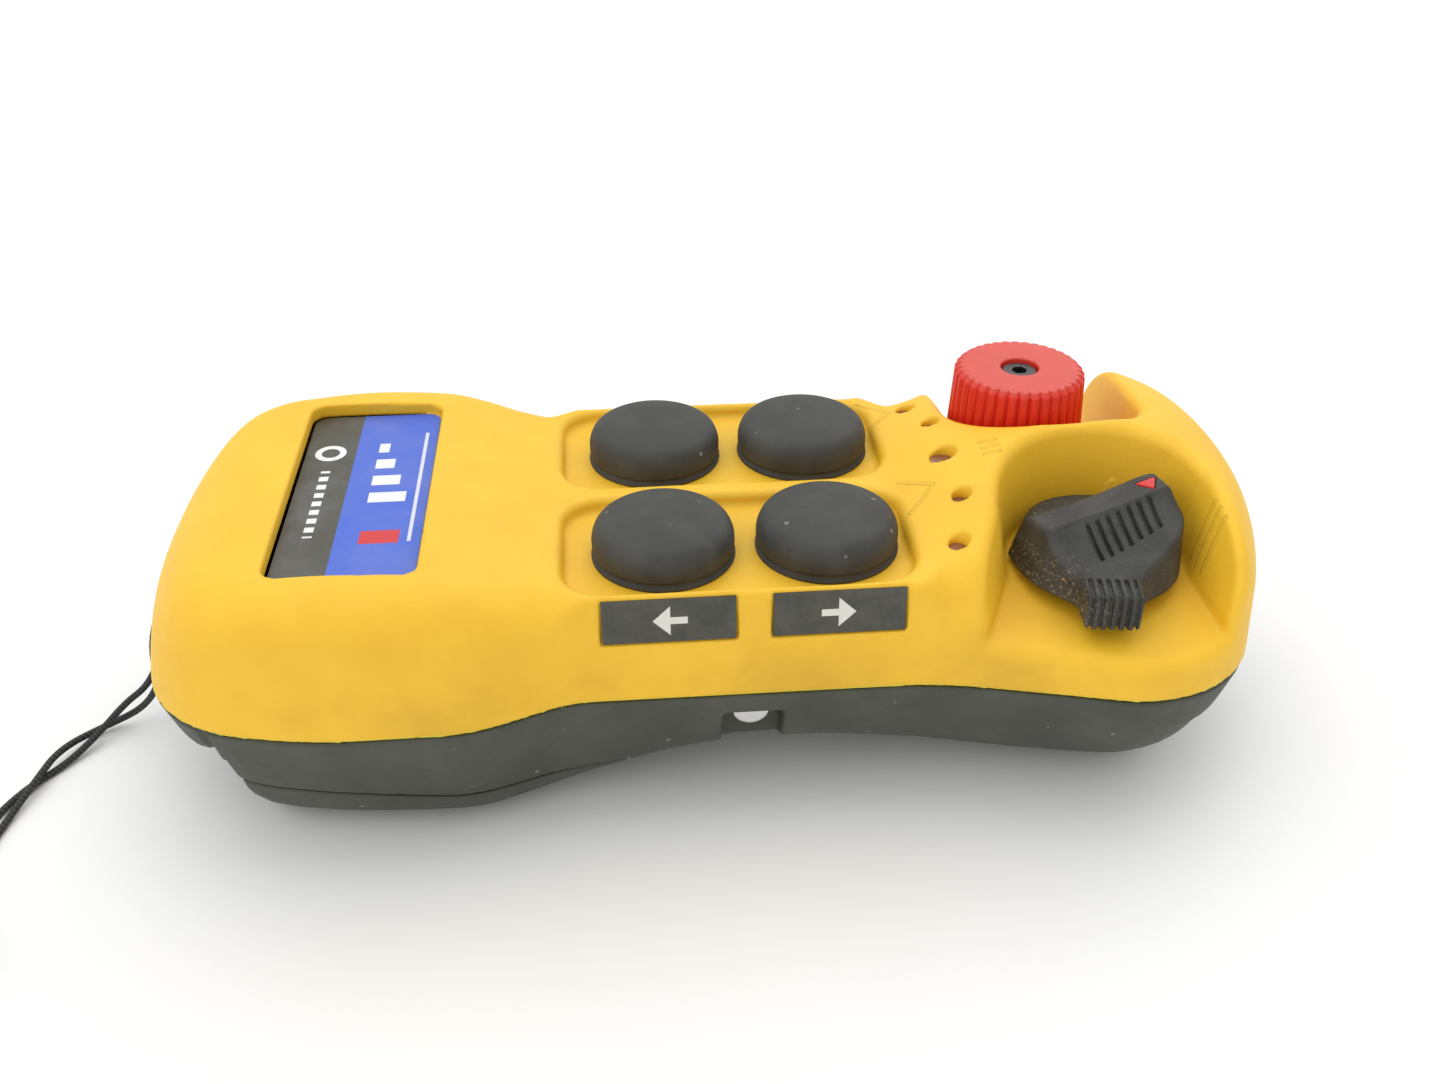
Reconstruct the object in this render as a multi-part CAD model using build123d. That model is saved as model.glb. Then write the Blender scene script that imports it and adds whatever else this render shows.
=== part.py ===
from build123d import *
import math
import os

# Hand-held radio control station: four push buttons, a rotary selector and an emergency stop.
# The station lies on its back. +X runs along the housing to the emergency-stop end, +Y across it,
# +Z up out of the button face. The origin is under the middle of the housing, on the floor.

os.makedirs("parts", exist_ok=True)

# ---------------------------------------------------------------- driving dimensions, mm
PARTING_Z = 23.0          # height of the joint between the two housing halves
WALL = 2.3                # housing wall
SIDE_DRAFT = 4.0          # lean of the front housing's side walls, degrees
REAR_DRAFT = 14.0         # lean of the rear housing's side walls, degrees
LABEL_TOP = 44.0          # top of the battery end of the front housing
SADDLE_TOP = 40.0         # rims beside the buttons
TROUGH_Z = 38.0           # floor that the buttons stand on
HEAD_CREST = 47.5         # highest line of the head, between its two dishes
CROWN_RADIUS = 90.0       # cross curve of the head's top
TOP_ROUND = 6.5           # rounding of the front housing's top edge

BUTTON_X = (-7.0, 16.8)   # the two button columns
BUTTON_Y = 14.2           # the two button rows are this far off the middle
SKIRT_R = 10.75
CROWN_R = 10.3
CROWN_TOP = 45.5
BUTTON_TRAVEL = 2.2

ESTOP_AT = (51.7, 14.6)
ESTOP_R = 10.3
ESTOP_TOP = 51.2
ESTOP_HEIGHT = 12.4
ESTOP_FLUTES = 36
ESTOP_TRAVEL = 4.0
SELECTOR_AT = (57.3, -14.6)
SELECTOR_R = 12.2
DISH_FLOOR = 32.6         # floor of both dishes beside the middle line
DISH_TILT = 9.0           # fall of the dish floors towards the sides, degrees
BAR_TURN = 13.0           # the selector bar's angle from +X at rest, degrees

LEGEND_LENGTH = 18.6      # plates on the shoulders beside the buttons
LEGEND_HEIGHT = 6.8
LEGEND_THICK = 0.6
LEGEND_Z = 36.0
LABEL_X = -51.3           # label in the battery end's top
LABEL_LENGTH = 20.0
LABEL_WIDTH = 48.2
LABEL_FACE_Z = 43.3
LABEL_THICK = 0.5

CELL_R = 7.1
CELL_LENGTH = 50.0
CELL_Z = 10.7             # height of the cells' axes
CELL_X = -43.2            # middle of the cells
CELL_Y = 7.4
BAY_END_LEFT = -68.7
BAY_END_RIGHT = -15.4
BAY_TOP = 18.2
BOARD_Z = 25.4
BOARD_THICK = 1.6

SCREW_AT = ((-72.5, 19.0), (-26.0, 23.4), (74.6, 9.0))
SCREW_SEAT_Z = 15.0       # the screw heads bear on this level
BOSS_R = 3.1
INSERT_R = 2.1
STUD_X = 4.9              # strap studs on the two sides of the waist
STUD_Z = 16.4
STUD_R = 1.9
STUD_HEAD_R = 2.9
STUD_FLOOR_Y = 21.2       # bottom of the stud's pocket
LANYARD_PIN = (-81.2, 18.3)  # x and z of the pin across the battery end's notch
LANYARD_PIN_R = 1.1
CORD_R = 0.55             # each of the two lanyard strands

COVER_LEFT = -71.5        # ends of the battery cover
COVER_RIGHT = -13.5
COVER_GAP = 0.15
EAR_TOP_Z = 13.9
TONGUE_X = -14.7          # upright tongues that locate the cover's right end
TONGUE_Y = 9.0
EAR_SCREW_X = -75.4

# far half of the housing's plan at the parting line: x, y and corner radius
PLAN_HALF = (
    (86.0, 9.6, 40.0), (74.3, 34.4, 19.5), (60.0, 36.5, 17.0), (31.5, 29.5, 60.0), (-21.2, 29.4, 18.0),
    (-34.9, 35.0, 25.0), (-56.5, 35.1, 60.0), (-76.9, 30.6, 21.0), (-85.9, 9.6, 43.0),
)


def rounded_face(corners):
    """A flat face from anticlockwise (u, v, radius) corners: straight runs joined by tangent arcs."""
    edges = []
    last_end = None
    first_start = None
    for index, (u, v, radius) in enumerate(corners):
        here = Vector(u, v)
        before = Vector(*corners[index - 1][:2])
        after = Vector(*corners[(index + 1) % len(corners)][:2])
        arriving = (here - before).normalized()
        leaving = (after - here).normalized()
        half_turn = math.radians(arriving.get_angle(leaving)) / 2
        reach = radius * math.tan(half_turn)
        start = here - arriving * reach
        end = here + leaving * reach
        if last_end is None:
            first_start = start
        else:
            edges.append(Line(last_end, start))
        if reach > 1e-6:
            inward = (leaving - arriving).normalized()
            middle = here + inward * (radius / math.cos(half_turn) - radius)
            edges.append(ThreePointArc(start, middle, end))
        last_end = end
    edges.append(Line(last_end, first_start))
    return Face(Wire(edges))


def plan_face(inset):
    """The housing's plan at the parting line, drawn in by inset."""
    other_half = [(x, -y, radius) for x, y, radius in reversed(PLAN_HALF)]
    face = rounded_face(list(PLAN_HALF) + other_half)
    return offset(face, -inset) if inset else face


def side_prism(corners, inset, half_width=50):
    """A solid across the whole width from an x, z outline, drawn in by inset."""
    face = rounded_face(corners)
    if inset:
        face = offset(face, -inset)
    return extrude(Plane.XZ * face, half_width, both=True)


def bar(x, y, z, length, width, height):
    """A box by its lowest middle point."""
    return Pos(x, y, z) * Box(length, width, height, align=(Align.CENTER, Align.CENTER, Align.MIN))


def rod(x, y, z, radius, height):
    """An upright cylinder by its lowest middle point."""
    return Pos(x, y, z) * Cylinder(radius, height, align=(Align.CENTER, Align.CENTER, Align.MIN))


def cone(x, y, z, low_radius, top_radius, height):
    """An upright cone by its lowest middle point."""
    shape = Cone(low_radius, top_radius, height, align=(Align.CENTER, Align.CENTER, Align.MIN))
    return Pos(x, y, z) * shape


def tube(x, y, z, radius, bore, height):
    """An upright tube by its lowest middle point."""
    return rod(x, y, z, radius, height) - rod(x, y, z - 1, bore, height + 2)


# ---------------------------------------------------------------- front housing
SADDLE_START = -22.0
SADDLE_END = 29.0
HEAD_START = 33.5
LED_AT = ((34.8, 20.3, 1.35), (37.0, 11.2, 1.35), (36.6, 0.0, 1.9), (37.0, -11.2, 1.35), (34.8, -20.3, 1.35))
HEAD_STATIONS = ((26, 40.6), (36, 43.8), (48, 46.4), (60, HEAD_CREST), (72, 46.6), (90, 42.0))


def head_section(x, crest):
    """One cross-section of the head: upright sides and a top curved about the long axis."""
    half = 45.0
    edge_height = crest - half**2 / (2 * CROWN_RADIUS)
    top = ThreePointArc((-half, edge_height), (0, crest), (half, edge_height))
    sides = Polyline((half, edge_height), (half, 0), (-half, 0), (-half, edge_height))
    plane = Plane(origin=(x, 0, 0), x_dir=(0, 1, 0), z_dir=(1, 0, 0))
    return plane * Face(Wire(top.edges() + sides.edges()))


def front_envelope(inset):
    """The front housing as one full body, before it is hollowed; inset gives its inner face."""
    blank = extrude(Pos(0, 0, PARTING_Z) * plan_face(inset), 30, taper=SIDE_DRAFT)
    handle_blank = blank & Pos(HEAD_START - 100, 0, 0) * Box(200, 100, 2 * (LABEL_TOP - inset))
    top_edges = handle_blank.edges().filter_by_position(Axis.Z, LABEL_TOP - inset - 0.01, 99)
    rim = top_edges.filter_by_position(Axis.X, -99, HEAD_START - 0.5)
    handle = fillet(rim, TOP_ROUND - inset / 2)
    handle &= side_prism(
        [
            (-99.1, 0, 0), (HEAD_START + 3, 0, 0), (HEAD_START + 3, 44.6, 0), (SADDLE_END, SADDLE_TOP, 6),
            (SADDLE_START, SADDLE_TOP, 24), (-35.0, LABEL_TOP, 24), (-69.5, LABEL_TOP, 14), (-79.0, 35.0, 16),
        ],
        inset,
    )
    dome = loft([head_section(x, crest - inset) for x, crest in HEAD_STATIONS])
    head = (blank & dome) & Pos(HEAD_START + 100, 0, 50) * Box(200, 100, 100)
    walls = head.edges().filter_by_position(Axis.X, HEAD_START + 0.2, 99)
    head = fillet(walls.filter_by_position(Axis.Z, 35, 60), TOP_ROUND - inset / 2)
    return handle + head


def dish_plane(side, lower):
    """The tilted floor of a dish: local x follows +X and local y runs towards +Y."""
    lean = math.radians(DISH_TILT)
    normal = (0, side * math.sin(lean), math.cos(lean))
    return Plane(origin=(0, side * 14.0, DISH_FLOOR - lower), x_dir=(1, 0, 0), z_dir=normal)


def dish_cutter(side, inset):
    """What the hand space round a knob takes out of the head."""
    if side < 0:
        x, y = SELECTOR_AT
        corners = [(33.5, -26, 2), (75.6, -26, 2), (69.6, 0, 2), (45.2, 0, 2)]
        round_part = cone(x, y, DISH_FLOOR - inset, 13.0 + inset, 16.4 + inset, 16)
        wall_lean = -14
    else:
        x, y = ESTOP_AT
        corners = [(38.0, 26, 2), (41.0, -11.4, 8), (67.5, -11.4, 8), (73.5, 26, 2)]
        round_part = cone(x, y, DISH_FLOOR - inset, 11.5 + inset, 12.0 + inset, 20)
        wall_lean = -6
    outline = rounded_face(corners)
    if inset:
        outline = offset(outline, inset)
    wedge = extrude(dish_plane(side, inset) * outline, 24, taper=wall_lean)
    return wedge + round_part


def trough_cutter(side, inset):
    """The shallow channel that one row of buttons stands in."""
    length = SADDLE_END - SADDLE_START - 2
    face = RectangleRounded(length + 2 * inset, 25.0 + 2 * inset, 6.0)
    middle = (SADDLE_START + SADDLE_END) / 2
    return extrude(Pos(middle, side * 14.0, TROUGH_Z - inset) * face, 12)


def waist_half_width(z):
    """Half the front housing's width beside the buttons."""
    return PLAN_HALF[3][1] - (z - PARTING_Z) * math.tan(math.radians(SIDE_DRAFT))


def legend_block(x, side, length, height, thick, depth):
    """A slab on the shoulder beside one button, its middle set depth below the wall's face."""
    y = waist_half_width(LEGEND_Z) - depth
    return Pos(x, side * y, LEGEND_Z) * Rot(side * SIDE_DRAFT, 0, 0) * Box(length, thick, height)


def seal_ring(grow):
    """The gasket in the parting joint; grow makes the groove that it lies in."""
    ring = plan_face(0.8 - grow) - plan_face(1.5 + grow)
    return extrude(Pos(0, 0, PARTING_Z - 0.6 - grow) * ring, 1.0 + 2 * grow)


def build_front_housing():
    body = front_envelope(0)
    cavity = front_envelope(WALL)
    for side in (1, -1):
        cavity -= trough_cutter(side, WALL)
        cavity -= dish_cutter(side, WALL)
        for x, y in SCREW_AT:
            cavity -= rod(x, side * y, PARTING_Z - 1, BOSS_R, 30)
    body -= cavity
    for side in (1, -1):
        body -= trough_cutter(side, 0)
        body -= dish_cutter(side, 0)
        for x, y in SCREW_AT:
            body -= rod(x, side * y, PARTING_Z - 1, INSERT_R, 8)
    for x in BUTTON_X:
        for side in (1, -1):
            body -= rod(x, side * BUTTON_Y, 30, 9.3, 12)
            body -= legend_block(x, side, LEGEND_LENGTH + 0.6, LEGEND_HEIGHT + 0.6, 3.0, -0.7)
    for x, y, radius in LED_AT:
        body -= rod(x, y, 30, radius, 20)
    body -= bar(LABEL_X, 0, LABEL_FACE_Z - LABEL_THICK, LABEL_LENGTH + 0.4, LABEL_WIDTH + 0.4, 5)
    body -= rod(*ESTOP_AT, 20, 6.05, 20)
    body -= rod(*SELECTOR_AT, 20, 5.05, 20)
    return body - seal_ring(0)


# ---------------------------------------------------------------- rear housing and battery cover
def rear_envelope(inset):
    """The rear housing with its battery cover closed, as one full body."""
    blank = extrude(Pos(0, 0, PARTING_Z) * plan_face(inset), PARTING_Z, dir=(0, 0, -1), taper=REAR_DRAFT)
    lengthways = side_prism(
        [
            (-94.2, 40, 0), (-80.5, 12.2, 5), (-72.6, 9.0, 2), (-70.6, 0, 5), (-22.0, 0, 18), (-7.0, 8.2, 20),
            (25.0, 8.2, 25), (46.0, 0, 30), (69.5, 0, 12), (80.0, 10.5, 10), (88.0, 40, 0),
        ],
        inset,
    )
    across = rounded_face([(-45, 40, 0), (-45, 8.0, 0), (-15, 0, 30), (15, 0, 30), (45, 8.0, 0), (45, 40, 0)])
    if inset:
        across = offset(across, -inset)
    crosswise = extrude(Plane.YZ * across, 100, both=True)
    return blank & lengthways & crosswise


def cover_region(grow):
    """The space that the battery cover fills, larger by grow on every joint face."""
    left = COVER_LEFT - grow
    right = COVER_RIGHT + grow
    top = ThreePointArc((right, 9.4 + grow), (-41.0, 5.6 + grow), (left, 10.8 + grow))
    sides = Polyline((left, 10.8 + grow), (left, -5), (right, -5), (right, 9.4 + grow))
    prism = extrude(Plane.XZ * Face(Wire(top.edges() + sides.edges())), 50, both=True)
    side = 40 + grow
    plan = rounded_face([(left, -side, 22), (right, -side, 0), (right, side, 0), (left, side, 22)])
    ear = bar(EAR_SCREW_X + 0.8, 0, -5, 10.4 + 2 * grow, 13.0 + 2 * grow, EAR_TOP_Z + 5 + grow)
    return (prism & extrude(Pos(0, 0, -5) * plan, 30)) + ear


def stud_pocket(side, grow):
    """The pocket in the waist's side wall that a strap stud stands in."""
    depth = 12
    return bar(STUD_X, side * (STUD_FLOOR_Y + depth / 2 - grow), 7.6 - grow, 9 + 2 * grow, depth, 12.2 + 2 * grow)


def notch(grow):
    """The notch in the battery end that the lanyard pin crosses."""
    return bar(-83.6 + grow, 0, 15.4 - grow, 10, 9 + 2 * grow, 5.8 + 2 * grow)


def build_rear_housing():
    outside = rear_envelope(0)
    cavity = rear_envelope(WALL) - cover_region(WALL - 0.5) - notch(2)
    bay = bar((BAY_END_LEFT + BAY_END_RIGHT) / 2, 0, 0, BAY_END_RIGHT - BAY_END_LEFT, 30.4, BAY_TOP)
    bay_walls = bar((BAY_END_LEFT + BAY_END_RIGHT) / 2, 0, 0, BAY_END_RIGHT - BAY_END_LEFT + 3, 33.4, BAY_TOP + 1.5)
    cavity -= bay_walls
    for side in (1, -1):
        cavity -= stud_pocket(side, 1.8)
    for x, y in SCREW_AT:
        for side in (1, -1):
            cavity -= rod(x, side * y, -1, BOSS_R + 1.6, 25)
    cavity -= rod(EAR_SCREW_X, 0, 8, 4.0, 8)
    body = outside - cavity - bay - cover_region(0) - notch(0)
    for side in (1, -1):
        body -= stud_pocket(side, 0)
        body -= Pos(STUD_X, side * (STUD_FLOOR_Y - 2), STUD_Z) * Rot(90, 0, 0) * Cylinder(STUD_R, 8)
        body -= bar(TONGUE_X, side * TONGUE_Y, 8.5, 1.9, 6.4, 4.4)
    for x, y in SCREW_AT:
        for side in (1, -1):
            body -= rod(x, side * y, -1, 3.1, SCREW_SEAT_Z + 1)
            body -= rod(x, side * y, 0, 1.7, 30)
    body -= rod(EAR_SCREW_X, 0, 8, 2.4, 12)
    x, z = LANYARD_PIN
    body -= Pos(x, 0, z) * Rot(90, 0, 0) * Cylinder(LANYARD_PIN_R, 12.6)
    return body - seal_ring(0)


def build_battery_cover():
    body = rear_envelope(0) & cover_region(-COVER_GAP)
    inside = rear_envelope(1.8) & bar((COVER_LEFT + COVER_RIGHT) / 2, 0, -1, COVER_RIGHT - COVER_LEFT - 2.6, 80, 20)
    body -= inside
    for side in (1, -1):
        body += bar(TONGUE_X, side * TONGUE_Y, 8.0, 0.9, 6.0, 4.6)
    body -= rod(EAR_SCREW_X, 0, 0, 4.1, 12.1)
    return body - rod(EAR_SCREW_X, 0, 0, 1.8, 20)


def build_cover_screw():
    """A captive screw with a coin slot; its thread is a plain shank."""
    head = rod(EAR_SCREW_X, 0, 10.6, 3.9, 1.4) - bar(EAR_SCREW_X, 0, 10.5, 9, 1.2, 0.9)
    return head + rod(EAR_SCREW_X, 0, 12.0, 1.6, 6.0)


# ---------------------------------------------------------------- buttons
def build_button_skirt(x, y):
    """The fixed collar of a rubber button: a flange each side of the floor and a tube between."""
    flange = rod(x, y, TROUGH_Z, SKIRT_R, 0.5) + rod(x, y, 34.9, 10.2, 0.7)
    collar = flange + rod(x, y, 34.9, 9.2, 5.6)
    return collar - rod(x, y, 34, 8.2, 8)


def build_button_crown(x, y):
    """The domed top that a thumb presses."""
    low = TROUGH_Z + 0.6 + BUTTON_TRAVEL
    dome = rod(x, y, low, CROWN_R, CROWN_TOP - low)
    top_rim = dome.edges().filter_by_position(Axis.Z, CROWN_TOP - 0.01, 99)
    dome = fillet(top_rim, 3.4)
    return dome - rod(x, y, low - 1, 9.5, 3.6)


def build_button_plunger(x, y):
    """The stiff disc and stem that carry the thumb's push to the switch."""
    return rod(x, y, 41.7, 7.8, 1.7) + rod(x, y, 31.4, 2.5, 10.4)


def build_switch(x, y):
    """A two-step push switch on the board."""
    body = bar(x, y, BOARD_Z + BOARD_THICK, 12, 12, 4.5)
    return body - rod(x, y, BOARD_Z + BOARD_THICK + 1.8, 2.7, 5)


# ---------------------------------------------------------------- emergency stop
def build_estop_knob():
    """The fluted mushroom knob, a little wider at its foot."""
    x, y = ESTOP_AT
    low = ESTOP_TOP - ESTOP_HEIGHT
    body = cone(x, y, low, ESTOP_R + 0.5, ESTOP_R, ESTOP_HEIGHT)
    body = chamfer(body.edges().filter_by_position(Axis.Z, ESTOP_TOP - 0.01, 99), 0.6)
    pitch = 360 / ESTOP_FLUTES
    for index in range(ESTOP_FLUTES):
        flute = Pos(ESTOP_R + 0.85, 0, 0) * Rot(0, -2.3, 0) * Cylinder(0.62, ESTOP_HEIGHT + 4)
        body -= Pos(x, y, low + ESTOP_HEIGHT / 2) * Rot(0, 0, pitch * index) * flute
    body -= rod(x, y, low - 1, 8.3, 7.4)
    body += rod(x, y, low, 6.0, 8)
    body -= rod(x, y, low - 1, 4.05, 10.0)
    body -= rod(x, y, ESTOP_TOP - 2.2, 3.0, 3)
    return body - rod(x, y, low, 1.5, 14)


def build_estop_screw():
    """The socket-head screw that holds the knob."""
    x, y = ESTOP_AT
    head = rod(x, y, ESTOP_TOP - 2.2, 2.6, 1.6)
    socket = extrude(Pos(x, y, ESTOP_TOP - 1.9) * RegularPolygon(1.3, 6), 3)
    return head - socket + rod(x, y, ESTOP_TOP - 8.2, 1.4, 6.2)


def build_estop_plunger():
    """The stem that the knob is screwed to."""
    x, y = ESTOP_AT
    top = ESTOP_TOP - ESTOP_HEIGHT + 8.95
    return rod(x, y, 24, 4.0, top - 24) - rod(x, y, top - 6, 1.45, 7)


def hex_nut(x, y, z, across, bore, height):
    """A plain nut by its lowest middle point."""
    nut = extrude(Pos(x, y, z) * RegularPolygon(across / 2, 6, major_radius=False), height)
    return nut - rod(x, y, z - 1, bore, height + 2)


def build_contact_block(x, y, width, bore, bore_depth):
    """A moulded switch block under a dish, open at the top for its stem."""
    low = 11.0
    top = 26.6
    body = bar(x, y, low, width, width, top - low)
    body = fillet(body.edges().filter_by(Axis.Z), 1.5)
    return body - rod(x, y, top - bore_depth, bore, bore_depth + 1)


# ---------------------------------------------------------------- selector
def selector_spot(along, across, z):
    """A place on the selector from its axis: along the bar and across it, turned to the rest angle."""
    turn = math.radians(BAR_TURN)
    x = SELECTOR_AT[0] + along * math.cos(turn) - across * math.sin(turn)
    y = SELECTOR_AT[1] + along * math.sin(turn) + across * math.cos(turn)
    return Pos(x, y, z) * Rot(0, 0, BAR_TURN)


SELECTOR_FOOT_Z = 33.5
THUMB_TAB_TURN = -98.0    # direction of the thumb tab from +X at rest, degrees


def build_selector_knob():
    """The rubber-covered knob: a round foot, a raised finger bar and a ribbed thumb tab."""
    x, y = SELECTOR_AT
    foot = cone(x, y, SELECTOR_FOOT_Z, SELECTOR_R, 10.4, 4.6)
    flank = selector_spot(0, 0, SELECTOR_FOOT_Z + 1)
    sketch = rounded_face([(-10.6, 0, 0), (11.4, 0, 0), (10.6, 10.6, 3), (2.0, 8.9, 5), (-8.4, 7.2, 3)])
    bar_block = flank * Pos(0, 1.6, 0) * extrude(Plane.XZ * sketch, 4.2, both=True)
    bar_block = fillet(bar_block.edges().filter_by(Axis.Z, reverse=True), 1.0)
    turn = math.radians(THUMB_TAB_TURN)
    tab_at = Pos(x + 12.5 * math.cos(turn), y + 12.5 * math.sin(turn), SELECTOR_FOOT_Z - 1.6)
    tab = tab_at * Rot(0, 0, THUMB_TAB_TURN) * bar(0, 0, 0, 9.4, 7.6, 5.4)
    tab = fillet(tab.edges().filter_by(Axis.Z), 1.2)
    body = foot + bar_block + tab - rod(x, y, SELECTOR_FOOT_Z - 5, 3.0, 9.5)
    return body - build_selector_pointer()


def build_selector_pointer():
    """The red triangle set into the bar's pointing end."""
    triangle = rounded_face([(0, -1.2, 0), (3.6, 0, 0), (0, 1.2, 0)])
    return selector_spot(5.2, 1.6, 43.6) * extrude(triangle, 1.2)


# ---------------------------------------------------------------- lights, board and battery
def led_surface_z(x, y):
    """Height of the head's top over one light hole."""
    crest = 43.8 + (x - 36) * 0.22
    return crest - y**2 / (2 * CROWN_RADIUS)


def build_light_guide():
    """One clear moulding that brings five lights up to the head's holes."""
    body = bar(34.6, 0, 33.8, 3.4, 44, 1.6)
    for x, y, radius in LED_AT:
        body += rod(x, y, 29.6, radius - 0.1, led_surface_z(x, y) - 0.9 - 29.6)
    return body


def build_main_board():
    wide = bar(9.0, 0, BOARD_Z, 60, 50, BOARD_THICK)
    narrow = bar(-41.0, 0, BOARD_Z, 42, 38, BOARD_THICK)
    return wide + narrow


def build_cell(y):
    """One cylindrical cell lying along the housing, its button end to the left."""
    body = Pos(CELL_X, y, CELL_Z) * Rot(0, 90, 0) * Cylinder(CELL_R, CELL_LENGTH - 1.2)
    body = fillet(body.edges(), 0.6)
    return body + Pos(CELL_X - CELL_LENGTH / 2 + 0.6, y, CELL_Z) * Rot(0, 90, 0) * Cylinder(2.7, 1.4)


def build_battery_spring(y):
    """A coiled contact spring at a cell's flat end."""
    start = CELL_X + CELL_LENGTH / 2 - 0.3
    length = BAY_END_RIGHT - 0.7 - start
    path = Helix(pitch=length / 3, height=length, radius=3.0)
    wire = Wire(path.edges())
    section = Plane(origin=wire @ 0, z_dir=wire % 0) * Circle(0.25)
    return Pos(start, y, CELL_Z) * Rot(0, 90, 0) * sweep(section, wire)


def build_battery_contacts():
    """Spring-steel plates at the two ends of the bay."""
    plates = Part()
    for y in (CELL_Y, -CELL_Y):
        plates += bar(BAY_END_RIGHT - 0.2, y, 7.4, 0.4, 10, 9)
        plates += bar(BAY_END_LEFT + 0.2, y, 7.4, 0.4, 10, 9)
    return plates


# ---------------------------------------------------------------- fasteners and lanyard
def build_housing_screws():
    screws = Part()
    for x, y in SCREW_AT:
        for side in (1, -1):
            head = rod(x, side * y, SCREW_SEAT_Z - 2.0, 2.7, 2.0)
            recess = bar(x, side * y, SCREW_SEAT_Z - 2.1, 3.2, 0.7, 1.2)
            recess += bar(x, side * y, SCREW_SEAT_Z - 2.1, 0.7, 3.2, 1.2)
            screws += head - recess + rod(x, side * y, SCREW_SEAT_Z, 1.45, 13)
    return screws


def build_threaded_inserts():
    inserts = Part()
    for x, y in SCREW_AT:
        for side in (1, -1):
            inserts += tube(x, side * y, PARTING_Z + 0.3, INSERT_R, 1.5, 5)
    return inserts


def build_strap_stud(side):
    """A steel stud with a round head for a shoulder strap's loop."""
    turned = Rot(-90 * side, 0, 0)
    shank = turned * rod(0, 0, -3.6, STUD_R, 5.6)
    head = turned * rod(0, 0, 2.0, STUD_HEAD_R, 1.3)
    head = fillet(head.edges(), 0.4)
    return Pos(STUD_X, side * STUD_FLOOR_Y, STUD_Z) * (shank + head)


STRAND_ROUTES = {
    "lanyard_strand_1": (
        (-82.9, 1.0, 18.4), (-85.6, 1.1, 15.8), (-88.0, 1.0, 11.2), (-90.6, 0.7, 7.0), (-94.2, 0.0, 4.6),
        (-97.6, -3.4, 2.0), (-101.4, -9.4, 0.6), (-106.0, -14.6, 0.6), (-109.2, -21.4, 0.6),
        (-110.4, -29.8, 0.6), (-109.9, -38.6, 1.0), (-108.7, -46.4, 2.1),
    ),
    "lanyard_strand_2": (
        (-82.9, -1.0, 18.4), (-85.2, -1.1, 15.2), (-87.1, -1.0, 10.6), (-89.4, -0.7, 6.2), (-92.6, -0.2, 2.9),
        (-97.4, -0.2, 0.6), (-103.0, -7.4, 2.0), (-104.6, -14.6, 1.8), (-106.9, -22.0, 0.6),
        (-108.2, -29.8, 0.6), (-107.2, -38.4, 1.0), (-106.2, -46.4, 2.1),
    ),
}


def build_strand(name):
    """A plain tube along one strand: straight runs joined by arcs, as wide as the runs allow."""
    points = [Vector(*place) for place in STRAND_ROUTES[name]]
    pieces = []
    last = points[0]
    for before, here, after in zip(points, points[1:], points[2:]):
        arriving = (here - before).normalized()
        leaving = (after - here).normalized()
        half_turn = math.radians(arriving.get_angle(leaving)) / 2
        reach = 0.45 * min((here - before).length, (after - here).length)
        radius = reach / math.tan(half_turn)
        start = here - arriving * reach
        end = here + leaving * reach
        middle = here + (leaving - arriving).normalized() * (radius / math.cos(half_turn) - radius)
        pieces += [Line(last, start), ThreePointArc(start, middle, end)]
        last = end
    pieces.append(Line(last, points[-1]))
    path = Wire(pieces)
    tube_solid = sweep(Plane(origin=path @ 0, z_dir=path % 0) * Circle(CORD_R), path)
    print(name, "length", round(path.length, 1), "volume ratio", tube_solid.volume / (math.pi * CORD_R**2 * path.length))
    return tube_solid


def build_lanyard_crimp():
    """The moulded sleeve that the two strands end in."""
    body = Pos(-107.1, -51.2, 2.3) * Rot(0, 0, 3) * Box(6.4, 9.4, 4.4)
    return fillet(body.edges(), 1.2)


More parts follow.
